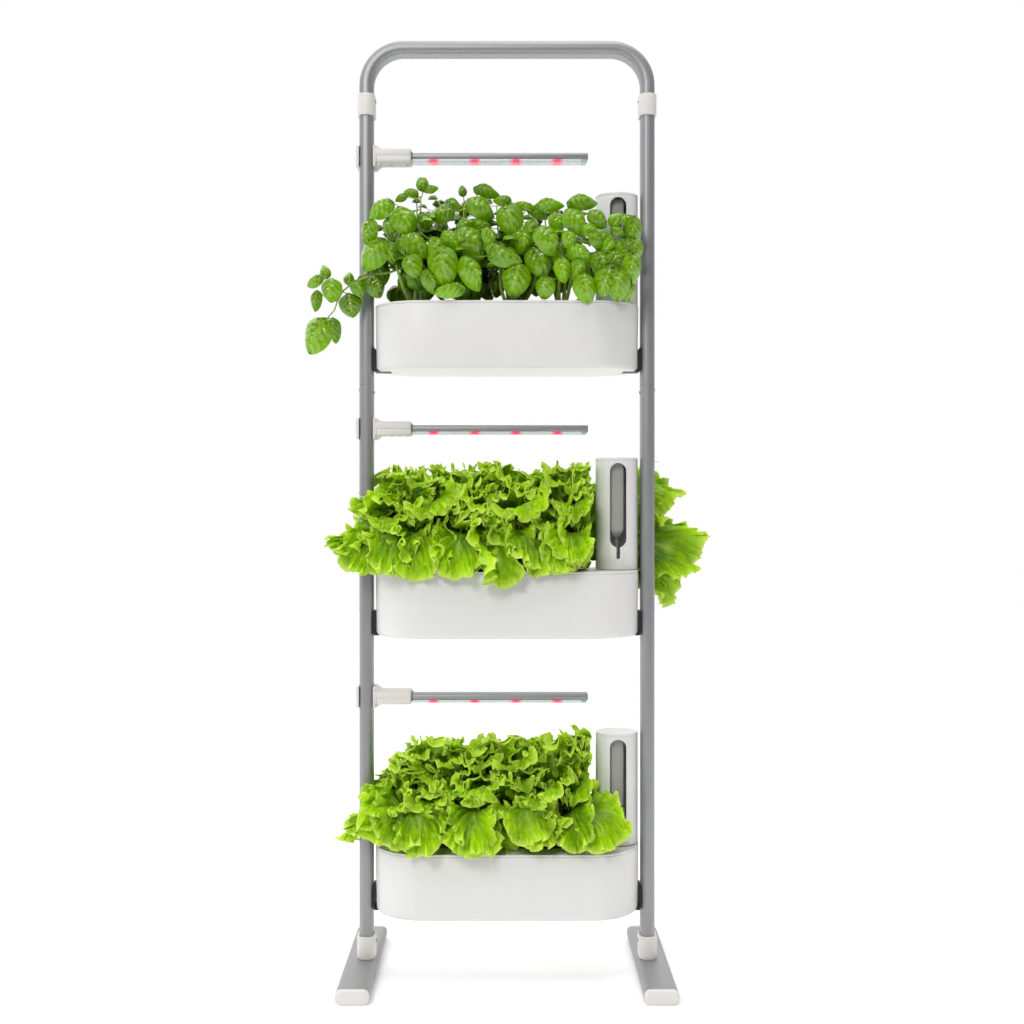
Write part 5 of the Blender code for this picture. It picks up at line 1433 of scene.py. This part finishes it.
# How far each lamp comes down, and the room that clamp and leaves keep between them
LAMP_DOWN = {"low": 0.025, "middle": 0.030, "top": 0.018}
CEILINGS = {tier: LAMPS[tier] - LAMP_DOWN[tier] - CLAMP_HEIGHT / 2 - 0.004 for tier in TIERS}
ROOT_LIFT = 0.003


def arched_leaf(base, tip, arch, width, random, roll=0.0, cup=0.5, power=2.5):
    """A leaf from its foot to its tip that rises first and then leans out."""
    base, tip = np.array(base, float), np.array(tip, float)
    run = tip - base
    level = np.array([run[0], run[1], 0.0])
    outwards = level / max(np.linalg.norm(level), 1e-6)
    first = base + 0.16 * level + UP * (0.42 * run[2] + arch)
    second = base + 0.72 * level + UP * (0.92 * run[2] + arch)
    side = np.cross(outwards, UP)
    return lettuce_leaf((base, first, second, tip), side, width, random, roll, cup, power)


def settled(leaf, tier, foot, fit=True, ahead=None):
    """A leaf of a head, fitted to its room, darker deep inside and clear of the rack."""
    points, faces, shade, vein = leaf
    if fit:
        points = fitted(points, tier, foot, TOWER_LEFT)
    deep = depth_shade(points, tier, foot)
    return keep_clear(points, TIERS[tier], CEILINGS[tier], ahead), faces, shade * deep, vein * deep


def head(x, tier, random):
    """The rosette of one head, ring by ring from the outer leaves to the inner ones."""
    leaves = []
    for count, reach, height, arch, width in RINGS:
        for _ in range(count):
            azimuth = len(leaves) * GOLDEN_ANGLE + random.uniform(-0.2, 0.2)
            scale = random.uniform(0.88, 1.12)
            outwards = np.array([math.cos(azimuth), math.sin(azimuth), 0.0])
            base = np.array([x, 0, TIERS[tier] + ROOT_LIFT]) + outwards * 0.008
            tip = base + outwards * reach * scale + UP * (height * scale + random.uniform(-0.012, 0.016))
            roll = random.uniform(-0.6, 0.6)
            leaf = arched_leaf(base, tip, arch * scale, width * scale, random, roll, 0.35)
            leaves.append(settled(leaf, tier, x))
    return leaves


# Cup, column and row of the tip in the picture, depth of the tip, arch, width, roll, way round a post
KEY_LEAVES = {
    "middle": (
        (0, 342, 538, -0.055, 0.060, 0.104, 1.1, -1), (0, 354, 572, -0.070, 0.075, 0.084, 0.9, -1),
        (0, 361, 500, -0.050, 0.045, 0.078, 0.9, -1), (0, 387, 574, -0.098, 0.085, 0.086, 0.2, -1),
        (0, 416, 579, -0.104, 0.085, 0.084, -0.2, -1), (1, 457, 578, -0.108, 0.085, 0.084, 0.2, -1),
        (1, 496, 582, -0.110, 0.085, 0.090, 0.7, -1), (1, 508, 586, -0.108, 0.085, 0.064, -1.0, -1),
        (2, 524, 490, -0.078, 0.010, 0.086, 0.0, -1),
        (2, 536, 569, -0.104, 0.075, 0.080, 0.2, -1), (3, 586, 566, -0.094, 0.070, 0.078, 0.3, -1),
        (1, 440, 505, -0.076, 0.020, 0.080, 0.3, -1), (1, 478, 500, -0.070, 0.020, 0.074, -0.2, -1),
        (0, 392, 505, -0.066, 0.030, 0.084, 0.4, -1), (3, 572, 500, -0.072, 0.020, 0.076, -0.3, -1),
        (2, 548, 574, -0.100, 0.070, 0.072, -0.3, -1), (3, 562, 572, -0.098, 0.065, 0.068, 0.4, -1),
        (3, 674, 505, 0.064, 0.050, 0.120, -1.0, 1), (3, 699, 562, 0.058, 0.050, 0.124, -1.1, 1),
        (3, 678, 600, 0.062, 0.075, 0.084, -0.9, 1),
    ),
    "low": (
        (0, 364, 815, -0.060, 0.060, 0.108, 1.1, -1), (0, 376, 783, -0.050, 0.045, 0.084, 0.9, -1),
        (0, 374, 844, -0.076, 0.080, 0.080, 0.8, -1), (0, 396, 850, -0.100, 0.085, 0.088, 0.2, -1),
        (0, 421, 857, -0.106, 0.090, 0.084, -0.2, -1), (1, 480, 858, -0.108, 0.090, 0.084, 0.1, -1),
        (1, 452, 795, -0.080, 0.030, 0.084, 0.3, -1), (2, 543, 850, -0.102, 0.085, 0.080, -0.2, -1),
        (3, 610, 850, -0.096, 0.075, 0.088, -0.6, -1), (2, 520, 785, -0.074, 0.020, 0.086, 0.0, -1),
        (3, 578, 722, 0.010, 0.010, 0.076, 0.2, -1), (1, 420, 778, -0.060, 0.030, 0.080, 0.5, -1),
    ),
}
for tier, seed in (("low", 11), ("middle", 23)):
    for cup, foot in enumerate(CUP_XS):
        random = np.random.default_rng(seed + cup)
        leaves = head(foot, tier, random)
        for from_cup, column, row, depth, arch, width, roll, ahead in KEY_LEAVES[tier]:
            if from_cup != cup:
                continue
            base = (foot, math.copysign(0.010, depth), TIERS[tier] + ROOT_LIFT)
            leaf = arched_leaf(base, at_pixel(column, row, depth), arch, width, random, roll, 0.2, 3.4)
            leaves.append(settled(leaf, tier, foot, column < TOWER_PIXEL, ahead))
        hand = "left" if cup < 2 else "right"
        made = leaves_object("head", leaves, LETTUCE)
        finished(made, f"lettuce_head_{tier}_{cup + 1}", None, "garden", "lettuce", f"lettuce_{tier}_{hand}")
        made.data.shade_smooth()
        print(made.name, len(leaves), "leaves", len(made.data.polygons))

# %% [markdown]
# ## Basil
#
# A basil leaf is a small dome: glossy, folded a little along its rib, its margin curled down. Leaves sit
# in crossed pairs along the stems. Three leaves are modelled once with their veins, and a plain one for
# the many inside, and a Geometry Nodes tree sets them on points, each point with its own turn and size.
# The leaves that face the camera are listed by their place and size in the picture.

# %% Four basil leaves
BASIL_THICKNESS = 0.014


def basil_leaf(seed, rows=22, columns=10):
    """A leaf one unit long from its foot at the origin along +X, its upper side towards +Z."""
    random = np.random.default_rng(seed)
    width, dome, fold = random.uniform(0.74, 0.84), random.uniform(0.30, 0.37), random.uniform(0.025, 0.045)
    points, shades, veins = [], [], []
    for row in range(rows + 1):
        u = row / rows
        half = width / 2 * math.sin(math.pi * u ** 0.84) ** 0.62 * (1 - 0.10 * u) if 0 < u < 1 else 0.0
        for column in range(columns + 1):
            v = 2 * column / columns - 1
            vein_at = (u - 0.34 * abs(v)) * 5.0
            off_vein = abs(vein_at - round(vein_at))
            arch = dome * (1 - abs(v) ** 2.2) * math.sin(math.pi * min(max(u, 0.02), 0.98)) ** 0.6
            curl = -0.26 * u * u + 0.03 * math.sin(9 * u + 3 * v + seed)
            # Pillows between the veins, with a sharp valley along each vein
            bulge = 0.095 * (abs(math.sin(math.pi * vein_at)) - 0.5) * min(1, 4 * abs(v)) * (1 - abs(v) ** 3)
            crease = -1.3 * fold * math.exp(-(v / 0.17) ** 2)
            points.append((u, v * half, arch + curl + bulge + crease))
            rib, side_vein = math.exp(-(v / 0.07) ** 2), math.exp(-(off_vein / 0.12) ** 2) * (1 - abs(v))
            veins.append(max(0.42 * rib, 0.08 * side_vein))
            # Painted light: the shade is lighter on the pillows and towards the tip and the edges, as painted
            # highlight, and darker in the valleys along the veins, as painted shade
            shades.append(max(0.0, min(1, 0.16 + 0.12 * abs(v) + 0.22 * u + 4.5 * bulge)))
    faces = []
    for row in range(rows):
        for column in range(columns):
            a = row * (columns + 1) + column
            faces.append((a, a + 1, a + columns + 2, a + columns + 1))
    mesh = bpy.data.meshes.new(f"basil_leaf_{seed}")
    mesh.from_pydata(points, [], faces)
    store(mesh, "shade", shades)
    store(mesh, "vein", veins)
    made = welded(thickened(new_object(mesh.name, mesh), BASIL_THICKNESS), 1e-5)
    made.data.shade_smooth()
    made.hide_render = True
    return made


FINE_MODELS = 3
PLAIN = FINE_MODELS
BASIL_MODELS = [basil_leaf(seed) for seed in range(1, FINE_MODELS + 1)] + [basil_leaf(4, 8, 6)]
LEAF_TREE = scatter_tree("leaves_on_points", BASIL_MODELS)

# %% Where the basil leaves are
# Column and row of the middle, length and width in quarter pixels, direction of the tip in degrees
FRONT_LEAVES = (
    (365, 175, 112, 92, 200), (530, 75, 60, 50, 90), (562, 95, 60, 42, 20), (485, 110, 60, 45, 160),
    (445, 130, 50, 40, 200), (457, 222, 116, 100, -60), (400, 245, 72, 66, -100), (335, 355, 146, 110, 232),
    (315, 268, 105, 74, 250), (505, 320, 140, 96, -25), (612, 400, 160, 116, -82), (726, 432, 146, 92, -56),
    (724, 308, 146, 116, -42), (644, 300, 92, 66, -45), (610, 195, 96, 80, 190), (762, 172, 122, 94, -22),
    (786, 105, 106, 54, -10), (690, 105, 42, 34, 100), (655, 160, 72, 58, -30), (880, 215, 124, 108, -82),
    (856, 365, 132, 90, -6), (902, 460, 136, 108, -105), (996, 385, 118, 106, -60), (930, 300, 98, 92, -90),
    (1032, 300, 130, 104, -44), (990, 190, 92, 52, -15), (1036, 160, 112, 58, 10), (935, 165, 82, 42, 160),
    (1142, 225, 118, 100, -40), (1166, 150, 112, 70, 10), (1070, 230, 84, 70, -60), (1232, 215, 92, 74, -30),
    (1306, 220, 72, 60, 60), (1312, 265, 62, 42, -20), (1372, 265, 122, 66, -95), (1366, 415, 132, 74, -95),
    (1306, 385, 92, 80, -60), (1160, 355, 112, 80, -20), (490, 400, 92, 80, -70), (640, 500, 112, 70, 180),
    (1020, 490, 92, 80, -100), (1180, 490, 112, 90, -80), (1262, 468, 114, 90, -110), (560, 465, 100, 62, -60),
    (800, 290, 90, 60, -60), (1090, 420, 100, 66, -80), (400, 350, 84, 60, -70), (760, 240, 90, 56, 150),
    (1225, 300, 84, 60, -40), (1270, 330, 84, 56, -120), (700, 240, 80, 54, 30), (540, 225, 80, 56, -60),
    (1255, 285, 60, 46, 30), (1288, 300, 52, 42, -20), (1240, 322, 60, 46, 160), (1361, 330, 84, 56, -50),
    (1245, 395, 104, 82, -70), (1150, 425, 98, 66, -90), (1312, 480, 128, 96, -95), (1335, 345, 88, 64, -80),
    (1200, 262, 80, 60, -10), (1340, 215, 74, 52, 20), (1378, 340, 96, 66, -90), (1290, 440, 96, 84, -100),
    (1352, 500, 84, 70, -80), (1120, 300, 80, 62, -60), (1065, 345, 84, 66, -100), (960, 250, 70, 52, -120),
    (820, 350, 84, 64, -60), (580, 330, 84, 64, -110), (455, 320, 80, 62, -70), (850, 140, 70, 50, 170),
)
SPRIG_LEAVES = (
    (100, 465, 72, 54, 200), (140, 428, 60, 42, 110), (165, 500, 92, 84, -100), (104, 542, 82, 46, -100),
    (236, 455, 52, 40, 80), (272, 492, 72, 58, -60), (342, 484, 92, 80, -60), (242, 560, 94, 84, -80),
    (108, 682, 156, 112, 240), (176, 660, 98, 54, -86), (300, 455, 70, 44, 20),
)
CROP_LEFT, CROP_TOP, CROP_SCALE = 290, 165, 4


def turn_to(tip, upper):
    """Euler turn that lays +X along the tip's direction and +Z along the upper side."""
    x = Vector(tip).normalized()
    z = (Vector(upper) - x * x.dot(Vector(upper))).normalized()
    y = z.cross(x)
    return Matrix((x, y, z)).transposed().to_euler()


def crop_point(column, row, depth):
    """The place of a point of the basil, given in quarter pixels of its part of the picture."""
    return at_pixel(CROP_LEFT + column / CROP_SCALE, CROP_TOP + row / CROP_SCALE, depth)


def picture_leaf(column, row, length, width, degrees, depth, random):
    """A leaf given as the picture shows it: foot, turn and size for a point, and its model."""
    model = int(random.integers(FINE_MODELS))
    scale = metres_per_pixel(depth) / CROP_SCALE
    direction = math.radians(degrees)
    tip = Vector((math.cos(direction), random.uniform(-0.35, 0.1), math.sin(direction)))
    upper = Vector((random.uniform(-0.25, 0.25), -1.0, 0.55 + random.uniform(-0.2, 0.2)))
    size = length * scale * tip.length / math.hypot(tip.x, tip.z) * 1.02
    foot = crop_point(column, row, depth) - tip.normalized() * size / 2
    return foot, turn_to(tip, upper), (size, width * scale / 0.70, size), model


# %% [markdown]
# The stems are drawn by a second tree: it turns paths into tubes as thick as an attribute of the paths
# says. Each cup sends up five stems, with a crossed pair of leaves every few centimetres, and each leaf
# of the picture gets a stalk from the stem that is nearest to it.

# %% Stems


def stem_tree():
    tree, given, out = new_tree("stems_from_paths", {
        "Sides": "NodeSocketInt", "Material": "NodeSocketMaterial",
    })
    path = add_node(tree, "GeometryNodeMeshToCurve", None, {"Mesh": given.outputs["Geometry"]})
    thick = add_node(tree, "GeometryNodeInputNamedAttribute", {"data_type": "FLOAT"}, {"Name": "thick"})
    ring = add_node(tree, "GeometryNodeCurvePrimitiveCircle", None, {
        "Resolution": given.outputs["Sides"], "Radius": 1.0,
    })
    skin = add_node(tree, "GeometryNodeCurveToMesh", None, {
        "Curve": path.outputs["Curve"], "Profile Curve": ring.outputs["Curve"], "Fill Caps": True,
        "Scale": thick.outputs["Attribute"],
    })
    return close_tree(tree, given, out, skin.outputs["Mesh"])


STEM_TREE = stem_tree()


STEM_POINTS = 12
STALK_RADII = (0.0010, 0.0007)


def stems_object(name, paths, sides=8):
    """Stems from paths, each a list of points and the radius at its two ends."""
    points, edges, thick = [], [], []
    for path, (start, end) in paths:
        count = len(points)
        points += [tuple(point) for point in path]
        edges += [(count + i, count + i + 1) for i in range(len(path) - 1)]
        thick += [start + (end - start) * i / (len(path) - 1) for i in range(len(path))]
    mesh = bpy.data.meshes.new(name)
    mesh.from_pydata(points, edges, [])
    store(mesh, "thick", thick)
    return grow(new_object(name, mesh), STEM_TREE, {"Sides": sides, "Material": STEM})


def cup_foot(cup_x, dx, y):
    """Where a stem rises from the plug in its cup."""
    return np.array([cup_x + dx, y, TIERS["top"] + PLUG_TOP])


def basil_stems(random):
    """Five stems from each cup, and the crossed pairs of leaves along them with their stalks."""
    paths, leaves = [], []
    for cup_x in CUP_XS:
        for index in range(5):
            azimuth, spread = index * GOLDEN_ANGLE + random.uniform(-0.3, 0.3), 0.052 if index else 0.004
            x = min(cup_x + 0.8 * spread * math.cos(azimuth), TOWER_LEFT - 0.016)
            y = 0.004 + 1.15 * spread * math.sin(azimuth)
            height = float(skyline("top", x, y)) - random.uniform(0.012, 0.040) - TIERS["top"]
            foot = cup_foot(cup_x, 0.006 * math.cos(azimuth), 0.006 * math.sin(azimuth))
            tip = np.array([x, y, TIERS["top"] + height])
            rise = UP * 0.45 * height
            path = bezier((foot, foot + rise, tip - rise, tip), np.linspace(0, 1, STEM_POINTS))
            paths.append((path, (0.0030, 0.0010)))
            for joint in range(5, STEM_POINTS):
                at = path[joint]
                share = joint / (STEM_POINTS - 1)
                for way in (0, math.pi):
                    if at[1] < -0.050 or (at[0] > TOWER_LEFT - 0.045 and abs(at[1]) < 0.040):
                        continue
                    angle = azimuth + joint * math.pi / 2 + way + random.uniform(-0.4, 0.4)
                    outwards = np.array([math.cos(angle), math.sin(angle), random.uniform(-0.25, 0.55)])
                    size = random.uniform(0.030, 0.050) * (1.25 - 0.75 * share)
                    start = at + outwards * random.uniform(0.006, 0.014)
                    paths.append(([at, start], (0.0008, 0.0006)))
                    upper = Vector((0.4 * outwards[0], 0.4 * outwards[1], 1.0))
                    leaves.append((Vector(start), turn_to(outwards, upper), (size, size * 1.05, size), PLAIN))
    return paths, leaves


def stalk(foot, stems, longest):
    """A thin stalk from a leaf's foot to the nearest place on a stem, bent upwards on its way."""
    foot = np.array(foot)
    nearest = min((point for path, _ in stems for point in path[3:]), key=lambda p: np.linalg.norm(p - foot))
    run = foot - nearest
    if np.linalg.norm(run) > longest:
        nearest = foot - run * longest / np.linalg.norm(run)
        run = foot - nearest
    sag = UP * 0.25 * np.linalg.norm(run)
    ends = (nearest, nearest + 0.4 * run - sag, nearest + 0.8 * run - 0.4 * sag, foot)
    return bezier(ends, np.linspace(0, 1, 5))


def stalks(leaves, stems, longest):
    return [(stalk(foot, stems, longest), STALK_RADII) for foot, _, _, _ in leaves]


# %% The basil plants
SPLIT_X = -0.036
# Cup, then columns and rows in quarter pixels that a thick stem passes at the rim and higher up
RIM_STEMS = (
    (0, 452, 530, 425, 400), (0, 500, 535, 520, 400), (1, 540, 535, 560, 420), (1, 735, 535, 700, 400),
    (2, 828, 532, 845, 380), (2, 900, 535, 930, 400), (2, 985, 535, 990, 400), (3, 1066, 530, 1090, 380),
    (3, 1122, 535, 1130, 400), (3, 1215, 535, 1190, 400),
)
# Columns between which the picture shows bare stems over the rim
GAPS = ((372, 436), (736, 806), (845, 880), (1002, 1044), (1085, 1112))
# Column, row and depth of the points that the stem of the hanging sprig passes
SPRIG_PATH = (
    (470, 400, -0.030), (400, 430, -0.040), (340, 440, -0.046), (290, 455, -0.048), (245, 478, -0.048),
    (210, 505, -0.048), (190, 545, -0.048), (178, 580, -0.048), (150, 612, -0.048),
)
BEHIND_LEAVES = 46
# From this column on leaves hang in front of the tower
TOWER_COLUMN = 1190
random = np.random.default_rng(5)
stems, plain_leaves = basil_stems(random)
main_stems = [path for path in stems if len(path[0]) == STEM_POINTS]
for cup, rim_column, rim_row, column, row in RIM_STEMS:
    foot = cup_foot(CUP_XS[cup], 0, -0.004)
    rim, upper = (
        np.array(crop_point(*place)) for place in ((rim_column, rim_row, -0.030), (column, row, -0.044))
    )
    ends = (foot, 0.5 * foot + 0.5 * rim + UP * 0.010, rim + UP * 0.012, upper)
    stems.append((bezier(ends, np.linspace(0, 1, STEM_POINTS)), (0.0034, 0.0022)))
front = []
for column, row, length, width, degrees in FRONT_LEAVES:
    depth = -0.030 - 0.055 * min(max((row - 60) / 360, 0), 1) + random.uniform(-0.012, 0.012)
    if column > TOWER_COLUMN:
        depth = min(depth, -0.058 - 0.012 * random.random())
    front.append(picture_leaf(column, row, length, width, degrees, depth, random))
stems += stalks(front, main_stems, 0.060)
lower = []
for column in range(340, 1330, 30):
    if any(start < column < end for start, end in GAPS):
        continue
    place = (column + random.uniform(-14, 14), random.uniform(400, 505))
    sizes = (random.uniform(76, 118), random.uniform(62, 88))
    depth, way = random.uniform(-0.050, 0.015), random.uniform(-130, -50)
    lower.append(picture_leaf(*place, *sizes, way, depth, random))
for _ in range(BEHIND_LEAVES):
    x, height, size = random.uniform(-0.20, 0.125), random.uniform(0.035, 0.145), random.uniform(0.036, 0.052)
    outwards = Vector((random.uniform(-0.7, 0.7), 1.0, random.uniform(-1.0, 0.1)))
    foot = Vector((x, random.uniform(0.030, 0.062), TIERS["top"] + height))
    model = int(random.integers(FINE_MODELS))
    lower.append((foot, turn_to(outwards, (0, 0.5, 1)), (size, size * 1.05, size), model))
stems += stalks(lower, main_stems, 0.030)
sprig_path = ([np.array(crop_point(*place)) for place in SPRIG_PATH], (0.0020, 0.0010))
stems.append(sprig_path)
sprig = []
for column, row, length, width, degrees in SPRIG_LEAVES:
    depth = -0.048 + random.uniform(-0.008, 0.008)
    sprig.append(picture_leaf(column, row, length, width, degrees, depth, random))
stems += stalks(sprig, [sprig_path], 0.050)

# %% Basil leaves and stems as pieces
for hand, kept in (("left", lambda x: x < SPLIT_X), ("right", lambda x: x >= SPLIT_X)):
    leaves = [leaf for leaf in front + lower + sprig + plain_leaves if kept(leaf[0].x)]
    # Painted shade: leaves further back are coloured darker than those near the front, and each gets a random
    # tone of its own
    tones = [
        float(np.clip(-4.0 * (foot.y + 0.035), -0.30, 0.12)) + random.uniform(-0.16, 0.16)
        for foot, _, _, _ in leaves
    ]
    blades = scattered(f"basil_leaves_{hand}", leaves, LEAF_TREE, BASIL, tones)
    stalks_piece = stems_object(f"basil_stems_{hand}", [path for path in stems if kept(path[0][0][0])])
    # Stems start under the lid, so they are kept clear of a deck that lies lower
    for piece, sunk in ((blades, 0), (stalks_piece, 0.05)):
        points = np.empty(3 * len(piece.data.vertices), np.float32)
        piece.data.vertices.foreach_get("co", points)
        points = keep_clear(points.reshape(-1, 3), TIERS["top"] - sunk, CEILINGS["top"])
        piece.data.vertices.foreach_set("co", points.astype(np.float32).ravel())
        finished(piece, piece.name, None, "garden", "basil", f"basil_top_{hand}")
        piece.data.shade_smooth()
        print(piece.name, len(piece.data.polygons), [round(v, 3) for v in piece.dimensions])
spent(*BASIL_MODELS)

# %% [markdown]
# Each plant grows from a plug of dark sponge that sits in its net cup, a little below the lid.

# %% Root plugs
plug = turned("plug", [
    (0.0, PLUG_TOP + 0.0006), (0.0150, PLUG_TOP), (0.0192, PLUG_TOP - 0.0014), (0.0160, PLUG_BASE + 0.001),
    (0.0145, PLUG_BASE), (0.0, PLUG_BASE),
], 32)
for tier, plant in (("low", "lettuce"), ("middle", "lettuce"), ("top", "basil")):
    for hand, cups in (("left", (0, 1)), ("right", (2, 3))):
        for cup in cups:
            piece = placed(plug, (CUP_XS[cup], 0, TIERS[tier]))
            finished(piece, f"root_plug_{tier}_{cup + 1}", SPONGE, "garden", plant, f"{plant}_{tier}_{hand}")
spent(plug)
print("plugs", len(TIERS) * len(CUP_XS))

# %% [markdown]
# ## Floor and light
#
# The picture was lit by large soft lights in front of a white wall. The world gives the even white, a
# soft light from the front left shapes the tubes, and a small one from above lifts the tops. The room
# ahead of the rack is darker, and the floor ends 1.8 m ahead, so that the steel reflects something dark.

# %% Floor, world and lights
FLOOR_AHEAD, FLOOR_BEHIND, FLOOR_HALF_WIDTH, FLOOR_THICKNESS = 1.8, 7, 6, 0.02
# Brightness from behind the rack (0) over the sides (0.5) to straight in front (1)
AHEAD_STOPS = ((0.0, 1.0), (0.50, 1.0), (0.60, 0.90), (0.72, 0.42), (0.90, 0.12), (1.0, 0.12))
# Brightness from the left (0) to the right (1)
ASIDE_STOPS = ((0.0, 1.0), (0.66, 1.0), (0.80, 0.55), (1.0, 0.40))

scene.view_settings.view_transform = "Standard"
floor = box(
    "floor", (-FLOOR_HALF_WIDTH, -FLOOR_AHEAD, -FLOOR_THICKNESS), (FLOOR_HALF_WIDTH, FLOOR_BEHIND, 0.0)
)
floor.data.materials.append(material("pale_floor", {
    "Base Color": linear("#ffffff"), "Roughness": 0.95,
    "Emission Color": (1, 1, 1, 1), "Emission Strength": 0.08,
})[0])

world = bpy.data.worlds.new("white_studio")
scene.world = world
world.use_nodes = True
sky = world.node_tree
direction = add_node(sky, "ShaderNodeTexCoord")
axes = add_node(sky, "ShaderNodeSeparateXYZ", None, {"Vector": direction.outputs["Generated"]})


def brightness_along(axis, start, end, stops):
    """Brightness that changes from one end of an axis of the sky to the other."""
    way = add_node(sky, "ShaderNodeMapRange", None, {
        "Value": axes.outputs[axis], "From Min": start, "From Max": end,
    })
    ramp = add_node(sky, "ShaderNodeValToRGB", None, {"Fac": way.outputs["Result"]})
    elements = ramp.color_ramp.elements
    while len(elements) < len(stops):
        elements.new(0.5)
    for element, (position, value) in zip(elements, stops):
        element.position = position
        element.color = (value, value, value, 1)
    return ramp.outputs["Color"]


both = add_node(sky, "ShaderNodeMix", {"data_type": "RGBA", "blend_type": "MULTIPLY"}, {
    "Factor": 1.0, "A": brightness_along("Y", 1.0, -1.0, AHEAD_STOPS),
    "B": brightness_along("X", -1.0, 1.0, ASIDE_STOPS),
})
# The ceiling is brighter than the walls, so that tops and floor are well lit
ceiling = add_node(sky, "ShaderNodeMapRange", {"interpolation_type": "SMOOTHSTEP"}, {
    "Value": axes.outputs["Z"], "From Min": 0.40, "From Max": 0.85, "To Min": 1.0, "To Max": 1.9,
})
# The camera sees plain white behind the rack from every side
ray = add_node(sky, "ShaderNodeLightPath")
seen = add_node(sky, "ShaderNodeMix", {"data_type": "RGBA"}, {
    "Factor": ray.outputs["Is Camera Ray"], "A": both.outputs["Result"], "B": (1, 1, 1, 1),
})
background = sky.nodes["Background"]
sky.links.new(seen.outputs["Result"], background.inputs["Color"])
sky.links.new(ceiling.outputs["Result"], background.inputs["Strength"])


def soft_light(name, location, target, size, power):
    data = bpy.data.lights.new(name, "AREA")
    data.shape = "RECTANGLE"
    data.size, data.size_y = size
    data.energy = power
    made = bpy.data.objects.new(name, data)
    made.location = location
    made.rotation_euler = (Vector(target) - Vector(location)).to_track_quat("-Z", "Y").to_euler()
    scene.collection.objects.link(made)
    return made


soft_light("key", (-0.9, -2.7, 2.4), (0, 0, 0.8), (1.0, 1.0), 38)
soft_light("top", (0.2, -0.8, 3.2), (0, 0, 0.9), (0.6, 0.6), 9)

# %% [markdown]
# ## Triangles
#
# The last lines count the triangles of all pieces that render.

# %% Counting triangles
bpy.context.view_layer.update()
triangles = 0
for piece in scene.objects:
    if piece.type == "MESH" and not piece.hide_render:
        piece.data.calc_loop_triangles()
        triangles += len(piece.data.loop_triangles)
print("triangles", triangles)
